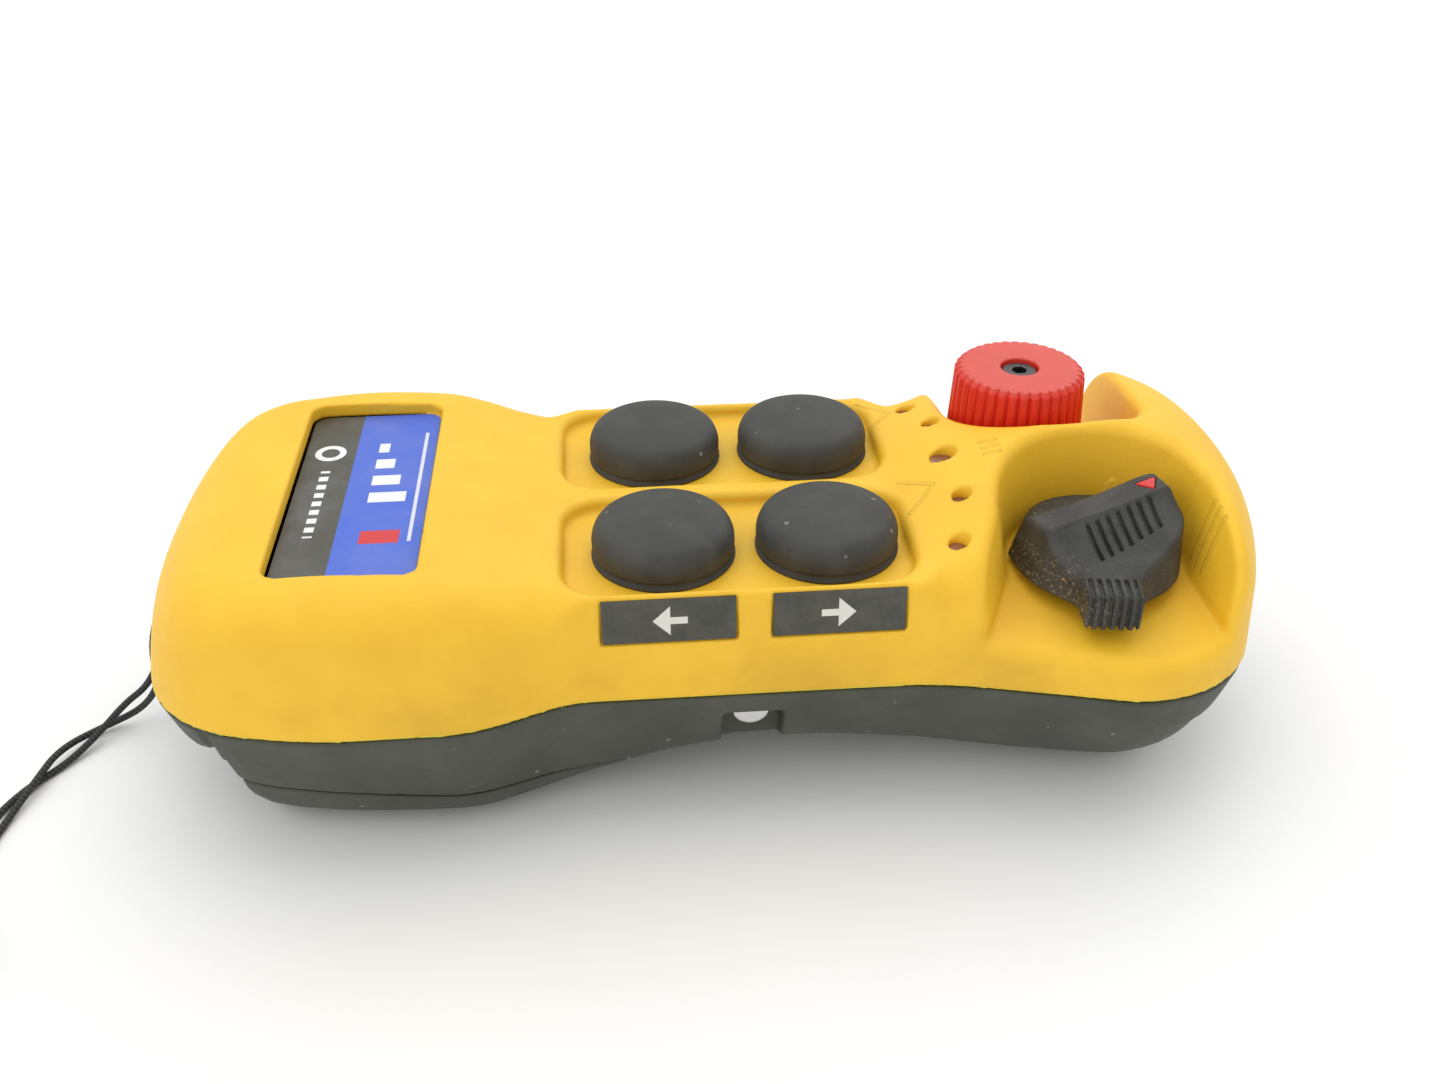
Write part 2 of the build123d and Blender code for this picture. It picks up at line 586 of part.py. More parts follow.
# ---------------------------------------------------------------- all the nodes
def build_nodes():
    """Every sub-part of the station by its node name."""
    nodes = {
        "front_housing": build_front_housing(),
        "rear_housing": build_rear_housing(),
        "battery_cover": build_battery_cover(),
        "battery_cover_screw": build_cover_screw(),
        "housing_seal": seal_ring(0),
        "front_label": bar(LABEL_X, 0, LABEL_FACE_Z - LABEL_THICK, LABEL_LENGTH, LABEL_WIDTH, LABEL_THICK),
        "estop_knob": build_estop_knob(),
        "estop_screw": build_estop_screw(),
        "estop_plunger": build_estop_plunger(),
        "estop_bush": tube(*ESTOP_AT, 26.8, 6.0, 4.06, 7.6) + tube(*ESTOP_AT, 32.7, 8.4, 6.0, 1.2),
        "estop_nut": hex_nut(*ESTOP_AT, 26.8, 15, 6.0, 1.8),
        "estop_contact_block": build_contact_block(*ESTOP_AT, 17, 4.4, 8.6),
        "selector_knob": build_selector_knob(),
        "selector_pointer": build_selector_pointer(),
        "selector_shaft": rod(*SELECTOR_AT, 18.4, 3.0, SELECTOR_FOOT_Z + 4.4 - 18.4),
        "selector_bush": tube(*SELECTOR_AT, 26.8, 5.0, 3.06, 6.4) + tube(*SELECTOR_AT, 32.7, 7.2, 5.0, 0.5),
        "selector_nut": hex_nut(*SELECTOR_AT, 26.8, 13, 5.0, 1.8),
        "selector_switch": build_contact_block(*SELECTOR_AT, 18, 3.4, 8.6),
        "light_guide": build_light_guide(),
        "main_board": build_main_board(),
        "radio_module": bar(-42, 0, BOARD_Z + BOARD_THICK, 26, 20, 3.2),
        "controller_chip": bar(-15.0, 0, BOARD_Z + BOARD_THICK, 8, 8, 1.4),
        "antenna": Pos(-59.5, 0, BOARD_Z + BOARD_THICK + 1.6) * Rot(90, 0, 0) * Cylinder(1.6, 30),
        "battery_contacts": build_battery_contacts(),
        "housing_screws": build_housing_screws(),
        "threaded_inserts": build_threaded_inserts(),
        "lanyard_pin": Pos(LANYARD_PIN[0], 0, LANYARD_PIN[1]) * Rot(90, 0, 0) * Cylinder(LANYARD_PIN_R, 12.6),
        "lanyard_crimp": build_lanyard_crimp(),
    }
    leds = Part()
    for x, y, radius in LED_AT:
        leds += rod(x, y, BOARD_Z + BOARD_THICK, radius - 0.1, 2.2)
    nodes["status_leds"] = leds
    for side, end in ((-1, "near"), (1, "far")):
        nodes[f"battery_cell_{end}"] = build_cell(side * CELL_Y)
        nodes[f"battery_spring_{end}"] = build_battery_spring(side * CELL_Y)
        nodes[f"strap_stud_{end}"] = build_strap_stud(side)
        for column, x in zip(("left", "right"), BUTTON_X):
            name = f"{end}_{column}"
            y = side * BUTTON_Y
            nodes[f"button_skirt_{name}"] = build_button_skirt(x, y)
            nodes[f"button_crown_{name}"] = build_button_crown(x, y)
            nodes[f"button_plunger_{name}"] = build_button_plunger(x, y)
            nodes[f"push_switch_{name}"] = build_switch(x, y)
            plate = legend_block(x, side, LEGEND_LENGTH, LEGEND_HEIGHT, LEGEND_THICK, 0.8 - LEGEND_THICK / 2)
            nodes[f"legend_plate_{name}"] = plate
    for name in STRAND_ROUTES:
        nodes[name] = build_strand(name)
    return nodes


for node_name, shape in build_nodes().items():
    export_step(shape, f"parts/{node_name}.step")
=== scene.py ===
import math
import bpy
import bmesh
import numpy as np
from mathutils import Matrix, Vector


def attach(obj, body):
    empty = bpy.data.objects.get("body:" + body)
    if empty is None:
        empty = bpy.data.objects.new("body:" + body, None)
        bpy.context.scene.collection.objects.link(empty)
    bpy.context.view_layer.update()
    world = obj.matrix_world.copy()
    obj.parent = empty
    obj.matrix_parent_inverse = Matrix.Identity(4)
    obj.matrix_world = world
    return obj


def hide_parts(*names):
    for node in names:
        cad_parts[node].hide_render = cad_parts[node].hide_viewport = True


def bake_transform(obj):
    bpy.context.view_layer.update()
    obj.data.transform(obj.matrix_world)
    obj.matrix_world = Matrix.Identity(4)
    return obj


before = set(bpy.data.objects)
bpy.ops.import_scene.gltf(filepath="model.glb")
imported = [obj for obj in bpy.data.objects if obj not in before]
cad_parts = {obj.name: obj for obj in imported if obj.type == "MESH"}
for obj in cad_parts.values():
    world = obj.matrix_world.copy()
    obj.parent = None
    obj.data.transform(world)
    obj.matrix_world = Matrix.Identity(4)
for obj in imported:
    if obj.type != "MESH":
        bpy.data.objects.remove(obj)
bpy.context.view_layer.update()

MM = 0.001

# ------------------------------------------------------------------ camera, table and light
# The station lies on its back on a pale table, seen from in front and above, in soft light
# from a large source overhead and a second one from the left.
CAMERA_PLACE = Vector((-12.94, -189.45, 153.39)) * MM
CAMERA_AZIMUTH = math.radians(-4.74)
CAMERA_ELEVATION = math.radians(32.98)
CAMERA_ROLL = math.radians(-0.17)
backward = Vector((
    math.sin(CAMERA_AZIMUTH) * math.cos(CAMERA_ELEVATION),
    -math.cos(CAMERA_AZIMUTH) * math.cos(CAMERA_ELEVATION),
    math.sin(CAMERA_ELEVATION),
))
camera_data = bpy.data.cameras.new("camera")
camera_data.sensor_width = 36.0
camera_data.lens = 35.99
camera = bpy.data.objects.new("camera", camera_data)
bpy.context.scene.collection.objects.link(camera)
level = (-backward).to_track_quat("-Z", "Y").to_matrix()
camera.matrix_world = Matrix.Translation(CAMERA_PLACE) @ (
    level @ Matrix.Rotation(CAMERA_ROLL, 3, "Z")
).to_4x4()
bpy.context.scene.camera = camera


class Socket:
    """One output of a node, with arithmetic that adds the nodes it needs."""

    def __init__(self, finish, link):
        self.finish = finish
        self.link = link

    def math(self, operation, *others):
        return self.finish.node("ShaderNodeMath", {"operation": operation}, {
            index: value for index, value in enumerate((self, *others))
        })

    def __add__(self, other):
        return self.math("ADD", other)

    __radd__ = __add__

    def __sub__(self, other):
        return self.math("SUBTRACT", other)

    def __rsub__(self, other):
        return self.finish.node("ShaderNodeMath", {"operation": "SUBTRACT"}, {0: other, 1: self})

    def __mul__(self, other):
        return self.math("MULTIPLY", other)

    __rmul__ = __mul__

    def __truediv__(self, other):
        return self.math("DIVIDE", other)

    def __abs__(self):
        return self.math("ABSOLUTE")

    def high(self, other):
        return self.math("MAXIMUM", other)

    def ramp(self, start, end):
        """0 below start and 1 above end, with a smooth rise; start may be the larger."""
        return self.finish.node("ShaderNodeMapRange", {"interpolation_type": "SMOOTHSTEP"}, {
            "Value": self, "From Min": start, "From Max": end,
        })


class Finish:
    """One material, with the nodes that its colour, gloss and relief are made from."""

    def __init__(self, name, **constants):
        self.material = bpy.data.materials.new(name)
        self.material.use_nodes = True
        self.tree = self.material.node_tree
        self.shader = next(n for n in self.tree.nodes if n.type == "BSDF_PRINCIPLED")
        for socket, value in constants.items():
            self.shader.inputs[socket.replace("_", " ")].default_value = value
        self.place = self.node("ShaderNodeTexCoord", {}, {}, "Object")

    def node(self, kind, settings, sockets, output=0):
        made = self.tree.nodes.new(kind)
        for name, value in settings.items():
            setattr(made, name, value)
        for name, value in sockets.items():
            self.feed(made.inputs[name], value)
        return Socket(self, made.outputs[output])

    def feed(self, socket, value):
        if isinstance(value, Socket):
            self.tree.links.new(value.link, socket)
        else:
            socket.default_value = value

    def set(self, name, value):
        self.feed(self.shader.inputs[name], value)

    def noise(self, size, detail=3.0, rough=0.5):
        """Noise whose lumps are about size millimetres across, from 0 to 1."""
        return self.node("ShaderNodeTexNoise", {}, {
            "Vector": self.place, "Scale": 1.0 / (size * MM), "Detail": detail, "Roughness": rough,
        })

    def specks(self, size, share):
        """1 on scattered dots, in about that share of the cells of size millimetres."""
        cells, chance = (self.node("ShaderNodeTexVoronoi", {}, {
            "Vector": self.place, "Scale": 1.0 / (size * MM), "Randomness": 1.0,
        }, output) for output in ("Distance", "Color"))
        drawn = self.node("ShaderNodeSeparateColor", {}, {"Color": chance})
        return cells.ramp(0.30, 0.16) * drawn.ramp(1 - share, 1 - share + 0.02)

    def mix(self, share, low, high):
        """low where share is 0 and high where it is 1; both are colours."""
        made = self.tree.nodes.new("ShaderNodeMix")
        made.data_type = "RGBA"
        self.feed(made.inputs["Factor"], share)
        self.feed(made.inputs[6], low)
        self.feed(made.inputs[7], high)
        return Socket(self, made.outputs[2])

    def relief(self, height, depth, after=None):
        """Bump from a height of 0 to 1 that stands for depth millimetres."""
        sockets = {"Height": height, "Distance": depth * MM, "Strength": 1.0}
        if after:
            sockets["Normal"] = after
        return self.node("ShaderNodeBump", {}, sockets)

    def axis(self, letter):
        """How far along X, Y or Z each place is, in millimetres."""
        return self.node("ShaderNodeSeparateXYZ", {}, {0: self.place}, letter) / MM


def srgb(red, green, blue):
    """A colour given as 0 to 255 on a screen, as the linear values that shaders take."""
    linear = []
    for part in (red, green, blue):
        part = part / 255
        linear.append(part / 12.92 if part <= 0.04045 else ((part + 0.055) / 1.055) ** 2.4)
    return (*linear, 1.0)


def make_object(name, points, faces, finish, body, smooth=True):
    """A new piece from points in metres, riding on one of the station's bodies."""
    mesh = bpy.data.meshes.new(name)
    mesh.from_pydata([tuple(p) for p in points], [], [tuple(f) for f in faces])
    mesh.update()
    mesh.materials.append(finish.material)
    piece = bpy.data.objects.new(name, mesh)
    bpy.context.scene.collection.objects.link(piece)
    mesh.polygons.foreach_set("use_smooth", [smooth] * len(mesh.polygons))
    if body:
        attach(piece, body)
    return piece


table_finish = Finish("pale_table", Roughness=0.55)
table_finish.set("Base Color", table_finish.mix(
    table_finish.noise(60, 2.0), srgb(242, 243, 245), srgb(249, 249, 250)))
TABLE_HALF = 1.6
table = make_object("table", [
    (-TABLE_HALF, -TABLE_HALF, 0), (TABLE_HALF, -TABLE_HALF, 0),
    (TABLE_HALF, TABLE_HALF, 0), (-TABLE_HALF, TABLE_HALF, 0),
], [(0, 1, 2, 3)], table_finish, None)

world = bpy.data.worlds.new("room")
bpy.context.scene.world = world
world.use_nodes = True
room = world.node_tree.nodes["Background"]
room.inputs["Color"].default_value = (1.0, 1.0, 0.965, 1.0)
room.inputs["Strength"].default_value = 0.86


LIGHT_AIM = Vector((0, 0, 0.02))


def soft_light(name, place, width, watts):
    data = bpy.data.lights.new(name, "AREA")
    data.shape = "SQUARE"
    data.size = width
    data.energy = watts
    lamp = bpy.data.objects.new(name, data)
    bpy.context.scene.collection.objects.link(lamp)
    lamp.location = Vector(place)
    lamp.rotation_mode = "QUATERNION"
    lamp.rotation_quaternion = (LIGHT_AIM - Vector(place)).to_track_quat("-Z", "Y")


soft_light("overhead_light", (-0.05, 0.25, 0.75), 0.9, 2.3)
soft_light("side_light", (-0.65, -0.35, 0.55), 0.7, 1.1)
soft_light("back_light", (0.45, 0.65, 0.5), 0.6, 0.8)
bpy.context.scene.view_settings.view_transform = "Standard"

# ------------------------------------------------------------------ lanyard
# Two thin braided black cords from the pin in the battery end. They drop to the table, cross
# once and lie side by side as far as a moulded sleeve, where the wrist loop begins.
CORD_WIDTH = 1.1 * MM
STRAND_ROUTES = {
    "lanyard_strand_1": (
        (-82.9, 1.0, 18.4), (-85.6, 1.1, 15.8), (-88.0, 1.0, 11.2), (-90.6, 0.7, 7.0), (-94.2, 0.0, 4.6),
        (-97.6, -3.4, 2.0), (-101.4, -9.4, 0.6), (-106.0, -14.6, 0.6), (-109.2, -21.4, 0.6),
        (-110.4, -29.8, 0.6), (-109.9, -38.6, 1.0), (-108.7, -46.4, 2.1),
    ),
    "lanyard_strand_2": (
        (-82.9, -1.0, 18.4), (-85.2, -1.1, 15.2), (-87.1, -1.0, 10.6), (-89.4, -0.7, 6.2), (-92.6, -0.2, 2.9),
        (-97.4, -0.2, 0.6), (-103.0, -7.4, 2.0), (-104.6, -14.6, 1.8), (-106.9, -22.0, 0.6),
        (-108.2, -29.8, 0.6), (-107.2, -38.4, 1.0), (-106.2, -46.4, 2.1),
    ),
}

braid = Finish("black_braid", Roughness=0.62)
along = braid.node("ShaderNodeTexWave", {"wave_type": "BANDS", "bands_direction": "DIAGONAL"}, {
    "Vector": braid.place, "Scale": 620.0, "Distortion": 1.5, "Detail": 1.0, "Detail Scale": 2.0,
})
braid.set("Base Color", braid.mix(along, srgb(24, 26, 27), srgb(58, 60, 60)))
braid.set("Normal", braid.relief(along, 0.12))

for strand_name, route in STRAND_ROUTES.items():
    curve = bpy.data.curves.new(strand_name + "_line", "CURVE")
    curve.dimensions = "3D"
    spline = curve.splines.new("NURBS")
    spline.points.add(len(route) - 1)
    for point, place in zip(spline.points, route):
        point.co = (*(Vector(place) * MM), 1.0)
    spline.order_u = 3
    spline.use_endpoint_u = True
    spline.resolution_u = 8
    curve.bevel_depth = CORD_WIDTH / 2
    curve.bevel_resolution = 4
    curve.use_fill_caps = True
    curve.materials.append(braid.material)
    strand = bpy.data.objects.new(strand_name + "_braided", curve)
    bpy.context.scene.collection.objects.link(strand)
    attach(strand, "root")
    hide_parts(strand_name)

# ------------------------------------------------------------------ front housing
# The upper half, moulded in yellow ABS with a fine matt grain: a boxy battery end, a narrow waist
# with two shallow channels for the buttons, and a domed head with a hollow round each knob.
# It is worked out as a distance field, because every edge of it flows into the next.
PARTING = 23.0
WALL = 2.3
PLAN_CORNERS = (
    (86.0, 9.6, 40.0), (74.3, 34.4, 19.5), (60.0, 36.5, 17.0), (31.5, 29.5, 60.0), (-21.2, 29.4, 18.0),
    (-34.9, 35.0, 25.0), (-56.5, 35.1, 60.0), (-76.9, 30.6, 21.0), (-85.9, 9.6, 43.0),
)
BUTTON_X = (-7.0, 16.8)
BUTTON_Y = 14.2
BUTTON_HOLE_R = 9.3
LIGHT_HOLES = (
    (34.8, 20.3, 1.35), (37.0, 11.2, 1.35), (36.6, 0.0, 1.9), (37.0, -11.2, 1.35), (34.8, -20.3, 1.35),
)
SIDE_LEAN = math.radians(4.0)
DISH_LEAN = math.radians(9.0)
HEAD_CROWN = 185.0
END_CROWN = 2600.0


def rounded_outline(corners, steps=7):
    """Points along straight runs joined by tangent arcs, from (u, v, radius) corners in order."""
    points = []
    for index, (u, v, radius) in enumerate(corners):
        here = np.array((u, v))
        arriving = here - np.array(corners[index - 1][:2])
        leaving = np.array(corners[(index + 1) % len(corners)][:2]) - here
        arriving /= np.linalg.norm(arriving)
        leaving /= np.linalg.norm(leaving)
        turn = math.acos(np.clip(arriving @ leaving, -1, 1))
        reach = radius * math.tan(turn / 2)
        if reach < 1e-6:
            points.append(here)
            continue
        inward = (leaving - arriving) / np.linalg.norm(leaving - arriving)
        centre = here + inward * (radius / math.cos(turn / 2))
        start = here - arriving * reach - centre
        side = math.copysign(1, arriving[0] * leaving[1] - arriving[1] * leaving[0])
        for step in range(steps + 1):
            a = side * turn * step / steps
            points.append(centre + (
                start[0] * math.cos(a) - start[1] * math.sin(a),
                start[0] * math.sin(a) + start[1] * math.cos(a),
            ))
    return np.array(points)


def outline_distance(u, v, outline):
    """Distance to a closed outline, negative inside."""
    nearest = np.full(u.shape, 1e9)
    inside = np.zeros(u.shape, bool)
    for (au, av), (bu, bv) in zip(outline, np.roll(outline, -1, axis=0)):
        du, dv = bu - au, bv - av
        t = np.clip(((u - au) * du + (v - av) * dv) / (du * du + dv * dv + 1e-12), 0, 1)
        nearest = np.minimum(nearest, (u - au - t * du) ** 2 + (v - av - t * dv) ** 2)
        crosses = (av > v) != (bv > v)
        if dv:
            inside ^= crosses & (u < au + (v - av) * du / dv)
    return np.where(inside, -1, 1) * np.sqrt(nearest)


def meet(a, b, radius):
    """What two fields share, with the edge between them rounded to about that radius."""
    inner_a = np.maximum(a + radius, 0)
    inner_b = np.maximum(b + radius, 0)
    return np.minimum(-radius, np.maximum(a, b)) + np.sqrt(inner_a**2 + inner_b**2)


def join(a, b, radius):
    """Both fields together, with the corner between them filled to about that radius."""
    return -meet(-a, -b, radius)


def carve(a, b, radius):
    """The first field less the second, with the rim rounded to about that radius."""
    return meet(a, -b, radius)


def smooth_step(value, start, end):
    t = np.clip((value - start) / (end - start), 0, 1)
    return t * t * (3 - 2 * t)


def block(x, y, z, half_x, half_y, half_z, radius=0.0):
    """Distance to a box about the origin of x, y and z, with rounded edges."""
    dx = np.abs(x) - half_x + radius
    dy = np.abs(y) - half_y + radius
    dz = np.abs(z) - half_z + radius
    outside = np.sqrt(np.maximum(dx, 0) ** 2 + np.maximum(dy, 0) ** 2 + np.maximum(dz, 0) ** 2)
    return outside + np.minimum(np.maximum(dx, np.maximum(dy, dz)), 0) - radius


def curve_height(x, stations):
    """Height along x through (x, height) stations, without a kink at any of them."""
    xs = np.array([s[0] for s in stations], float)
    zs = np.array([s[1] for s in stations], float)
    slopes = np.gradient(zs, xs)
    i = np.clip(np.searchsorted(xs, x) - 1, 0, len(xs) - 2)
    width = xs[i + 1] - xs[i]
    t = np.clip((x - xs[i]) / width, 0, 1)
    return ((1 + 2 * t) * (1 - t) ** 2 * zs[i] + t * (1 - t) ** 2 * width * slopes[i]
            + t * t * (3 - 2 * t) * zs[i + 1] + t * t * (t - 1) * width * slopes[i + 1])


plan_corners = list(PLAN_CORNERS) + [(x, -y, r) for x, y, r in reversed(PLAN_CORNERS)]
PLAN = rounded_outline(plan_corners)


def plan_table(outline, low, high, pitch):
    """The outline's distance on a fine grid, which the fields then read smoothly."""
    us = np.arange(low[0], high[0] + pitch, pitch)
    vs = np.arange(low[1], high[1] + pitch, pitch)
    u, v = np.meshgrid(us, vs, indexing="ij")
    values = outline_distance(u, v, outline)

    def read(x, y):
        i = np.clip((x - low[0]) / pitch, 0, len(us) - 1.001)
        j = np.clip((y - low[1]) / pitch, 0, len(vs) - 1.001)
        i0, j0 = i.astype(int), j.astype(int)
        a, b = i - i0, j - j0
        return ((1 - a) * (1 - b) * values[i0, j0] + a * (1 - b) * values[i0 + 1, j0]
                + (1 - a) * b * values[i0, j0 + 1] + a * b * values[i0 + 1, j0 + 1])
    return read


plan_distance = plan_table(PLAN, (-95, -46), (95, 46), 0.4)

# height of the housing's top along its middle line, to which a crown across is added
TOP_STATIONS = (
    (-96, 14.0), (-87, 22.5), (-83.6, 30.5), (-80.2, 36.6), (-76.4, 40.8), (-72.6, 43.2), (-67.5, 44.5),
    (-60, 44.8), (-48, 44.7), (-40, 44.0), (-34, 42.6), (-28, 40.9), (-22, 40.15), (-16, 40.05), (0, 40.05),
    (22, 40.05), (29, 40.4), (32, 41.8), (36, 44.1), (42, 46.0), (48, 47.3), (54, 47.9), (60, 48.2),
    (66, 48.1), (72, 47.7), (76, 46.5), (80, 43.6), (84, 38.6), (90, 27.0),
)
SELECTOR_AT = (57.3, -14.6)
ESTOP_AT = (51.7, 14.6)
DISH_FLOOR = 32.6
TROUGH_FLOOR = 38.0
LEGEND_Z = 36.0
LABEL_MIDDLE = -51.3
LABEL_FOOT = 42.1


def near_dish(x, y, z):
    """The hollow round the selector: a steep round wall that opens towards the near side."""
    cx, cy = SELECTOR_AT
    floor = DISH_FLOOR + np.minimum(y + 14.0, 0) * math.tan(DISH_LEAN)
    above_floor = (floor - z) * math.cos(DISH_LEAN)
    rise = np.maximum(z - DISH_FLOOR, 0)
    round_wall = np.hypot(x - cx, y - cy + 0.2) - (13.2 + 0.17 * rise)
    # the two straight flanks run outward from the round wall and spread apart
    spread = np.maximum(-(y + 14), 0)
    left = (45.0 - 0.47 * spread - 0.26 * rise - x) * 0.9
    right = (x - (70.1 + 0.12 * spread + 0.22 * rise)) * 0.96
    wedge = meet(meet(left, right, 1.0), y + 13.0, 1.0)
    opening = join(round_wall, wedge, 1.2)
    return meet(opening, above_floor, 0.7)


def far_dish(x, y, z):
    """The hollow round the stop knob: a round wall towards the middle, open to the far side."""
    floor = DISH_FLOOR - np.maximum(y - 14.0, 0) * math.tan(DISH_LEAN)
    above_floor = (floor - z) * math.cos(DISH_LEAN)
    rise = np.maximum(z - DISH_FLOOR, 0)
    cx, cy = ESTOP_AT
    round_wall = np.hypot(np.minimum(x - cx, 0), np.minimum(y - cy, 0)) - (11.5 + 0.04 * rise)
    right = x - (66.6 + 0.16 * rise + 0.10 * np.maximum(y - 12, 0))
    return meet(meet(round_wall, right, 4.0), above_floor, 0.9)


def front_body(x, y, z):
    """The front housing as a full body that goes on downward, before it is hollowed."""
    side = (plan_distance(x, y) + (z - PARTING) * math.tan(SIDE_LEAN)) * math.cos(SIDE_LEAN)
    head = smooth_step(x, 27.0, 37.0)
    battery_end = smooth_step(x, -24.0, -36.0)
    crown = head * y**2 / HEAD_CROWN + battery_end * y**2 / END_CROWN
    top_line = curve_height(x, TOP_STATIONS)
    slope = (curve_height(x + 0.5, TOP_STATIONS) - curve_height(x - 0.5, TOP_STATIONS))
    top = (z - top_line + crown) / np.sqrt(1 + slope**2)
    waist = smooth_step(x, -25.0, -18.5) * smooth_step(x, 33.0, 28.0)
    edge = 6.2 + 1.2 * battery_end + 0.4 * head - 5.0 * waist
    body = meet(side, top, edge)
    # two shallow channels for the buttons, with a low ridge between them
    past_x = np.maximum(np.abs(x - 3.5) - 19.0, 0)
    past_y = np.maximum(np.abs(np.abs(y) - 14.3) - 6.2, 0)
    trough = meet(np.hypot(past_x, past_y) - 6.0, TROUGH_FLOOR - z, 0.8)
    body = carve(body, trough, 1.3)
    body = carve(body, near_dish(x, y, z), 2.0)
    body = carve(body, far_dish(x, y, z), 1.5)
    return body


def front_field(x, y, z):
    """The front housing as moulded: a shell open below, with its holes and pockets."""
    body = front_body(x, y, z)
    shell = np.maximum(body, -(body + WALL))
    shell = meet(shell, PARTING - z, 0.25)
    for bx in BUTTON_X:
        for side in (1, -1):
            hole = np.hypot(x - bx, y - side * BUTTON_Y) - BUTTON_HOLE_R
            shell = np.maximum(shell, -np.maximum(hole, 33.0 - z))
            wall_y = 29.5 - (LEGEND_Z - PARTING) * math.tan(SIDE_LEAN)
            pocket = block(x - bx, y * side - wall_y - 1.0, z - LEGEND_Z, 9.6, 1.75, 3.7, 0.35)
            shell = carve(shell, pocket, 0.3)
    for lx, ly, radius in LIGHT_HOLES:
        spread = np.hypot(x - lx, y - ly)
        surface = curve_height(np.array([lx]), TOP_STATIONS)[0] - ly**2 / HEAD_CROWN
        sink = spread - radius - np.maximum(z - surface + 0.6, 0) * 0.28
        shell = np.maximum(shell, -np.maximum(sink, 30.0 - z))
    past_x = np.maximum(np.abs(x - LABEL_MIDDLE) - 7.9, 0)
    past_y = np.maximum(np.abs(y + 0.9) - 22.3, 0)
    shell = carve(shell, np.maximum(np.hypot(past_x, past_y) - 2.5, LABEL_FOOT - z), 0.25)
    for (cx, cy), radius in ((ESTOP_AT, 6.05), (SELECTOR_AT, 5.05)):
        shell = np.maximum(shell, -np.maximum(np.hypot(x - cx, y - cy) - radius, 20 - z))
    return shell


def surface_of(field, low, high, pitch):
    """Points and four-sided faces on the zero level of a field, inside a box in millimetres."""
    axes = [np.arange(a, b + pitch, pitch) for a, b in zip(low, high)]
    shape = tuple(len(a) for a in axes)
    values = np.empty(shape, np.float32)
    for i0 in range(0, shape[0], 24):
        xs, ys, zs = np.meshgrid(axes[0][i0:i0 + 24], axes[1], axes[2], indexing="ij")
        values[i0:i0 + 24] = field(xs, ys, zs)
    inside = values < 0
    corner = np.zeros(tuple(n - 1 for n in shape), np.int8)
    for dx in (0, 1):
        for dy in (0, 1):
            for dz in (0, 1):
                corner += inside[dx:shape[0] - 1 + dx, dy:shape[1] - 1 + dy, dz:shape[2] - 1 + dz]
    active = np.argwhere((corner > 0) & (corner < 8))
    number = np.full(corner.shape, -1, np.int32)
    number[tuple(active.T)] = np.arange(len(active))
    total = np.zeros((len(active), 3))
    count = np.zeros(len(active))
    for axis in range(3):
        step = [0, 0, 0]
        step[axis] = 1
        others = [k for k in range(3) if k != axis]
        for a in (0, 1):
            for b in (0, 1):
                start = active.copy()
                start[:, others[0]] += a
                start[:, others[1]] += b
                end = start + step
                low_value = values[tuple(start.T)]
                high_value = values[tuple(end.T)]
                cut = (low_value < 0) != (high_value < 0)
                share = low_value[cut] / (low_value[cut] - high_value[cut])
                total[cut] += start[cut] + share[:, None] * np.array(step)
                count[cut] += 1
    points = total / count[:, None] * pitch + np.array(low)
    # each point is then drawn on to the surface along the field's own slope
    for _ in range(3):
        x, y, z = points.T
        value = field(x, y, z)
        gap = 0.02
        slope = np.stack([
            field(x + gap, y, z) - field(x - gap, y, z),
            field(x, y + gap, z) - field(x, y - gap, z),
            field(x, y, z + gap) - field(x, y, z - gap),
        ], axis=1) / (2 * gap)
        size = np.maximum((slope**2).sum(1), 0.2)
        move = -(value / size)[:, None] * slope
        length = np.linalg.norm(move, axis=1)
        move *= (np.minimum(length, 0.3 * pitch) / np.maximum(length, 1e-9))[:, None]
        points = points + 0.8 * move
    faces = []
    for axis in range(3):
        others = [k for k in range(3) if k != axis]
        front = [slice(1, n - 1) for n in shape]
        front[axis] = slice(0, shape[axis] - 1)
        back = list(front)
        back[axis] = slice(1, shape[axis])
        a = inside[tuple(front)]
        b = inside[tuple(back)]
        for cells, flip in ((np.argwhere(a & ~b), False), (np.argwhere(~a & b), True)):
            cells = cells.copy()
            cells[:, others[0]] += 1
            cells[:, others[1]] += 1
            ring = []
            for du, dv in ((0, 0), (-1, 0), (-1, -1), (0, -1)):
                at = cells.copy()
                at[:, others[0]] += du
                at[:, others[1]] += dv
                ring.append(number[tuple(at.T)])
            ring = np.stack(ring, axis=1)
            turned = flip if axis != 1 else not flip
            faces.append(ring[:, ::-1] if turned else ring)
    faces = np.concatenate(faces)
    return points, faces[(faces >= 0).all(1)]


def moulded(name, field, low, high, pitch, finish, body):
    """A piece whose surface is a distance field's zero level."""
    points, faces = surface_of(field, low, high, pitch)
    mesh = bpy.data.meshes.new(name)
    mesh.vertices.add(len(points))
    mesh.vertices.foreach_set("co", (points * MM).astype(np.float32).ravel())
    mesh.loops.add(faces.size)
    mesh.loops.foreach_set("vertex_index", faces.ravel().astype(np.int32))
    mesh.polygons.add(len(faces))
    mesh.polygons.foreach_set("loop_start", np.arange(0, faces.size, 4, dtype=np.int32))
    mesh.polygons.foreach_set("loop_total", np.full(len(faces), 4, np.int32))
    mesh.update(calc_edges=True)
    mesh.validate()
    mesh.polygons.foreach_set("use_smooth", [True] * len(mesh.polygons))
    mesh.materials.append(finish.material)
    piece = bpy.data.objects.new(name, mesh)
    bpy.context.scene.collection.objects.link(piece)
    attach(piece, body)
    return piece


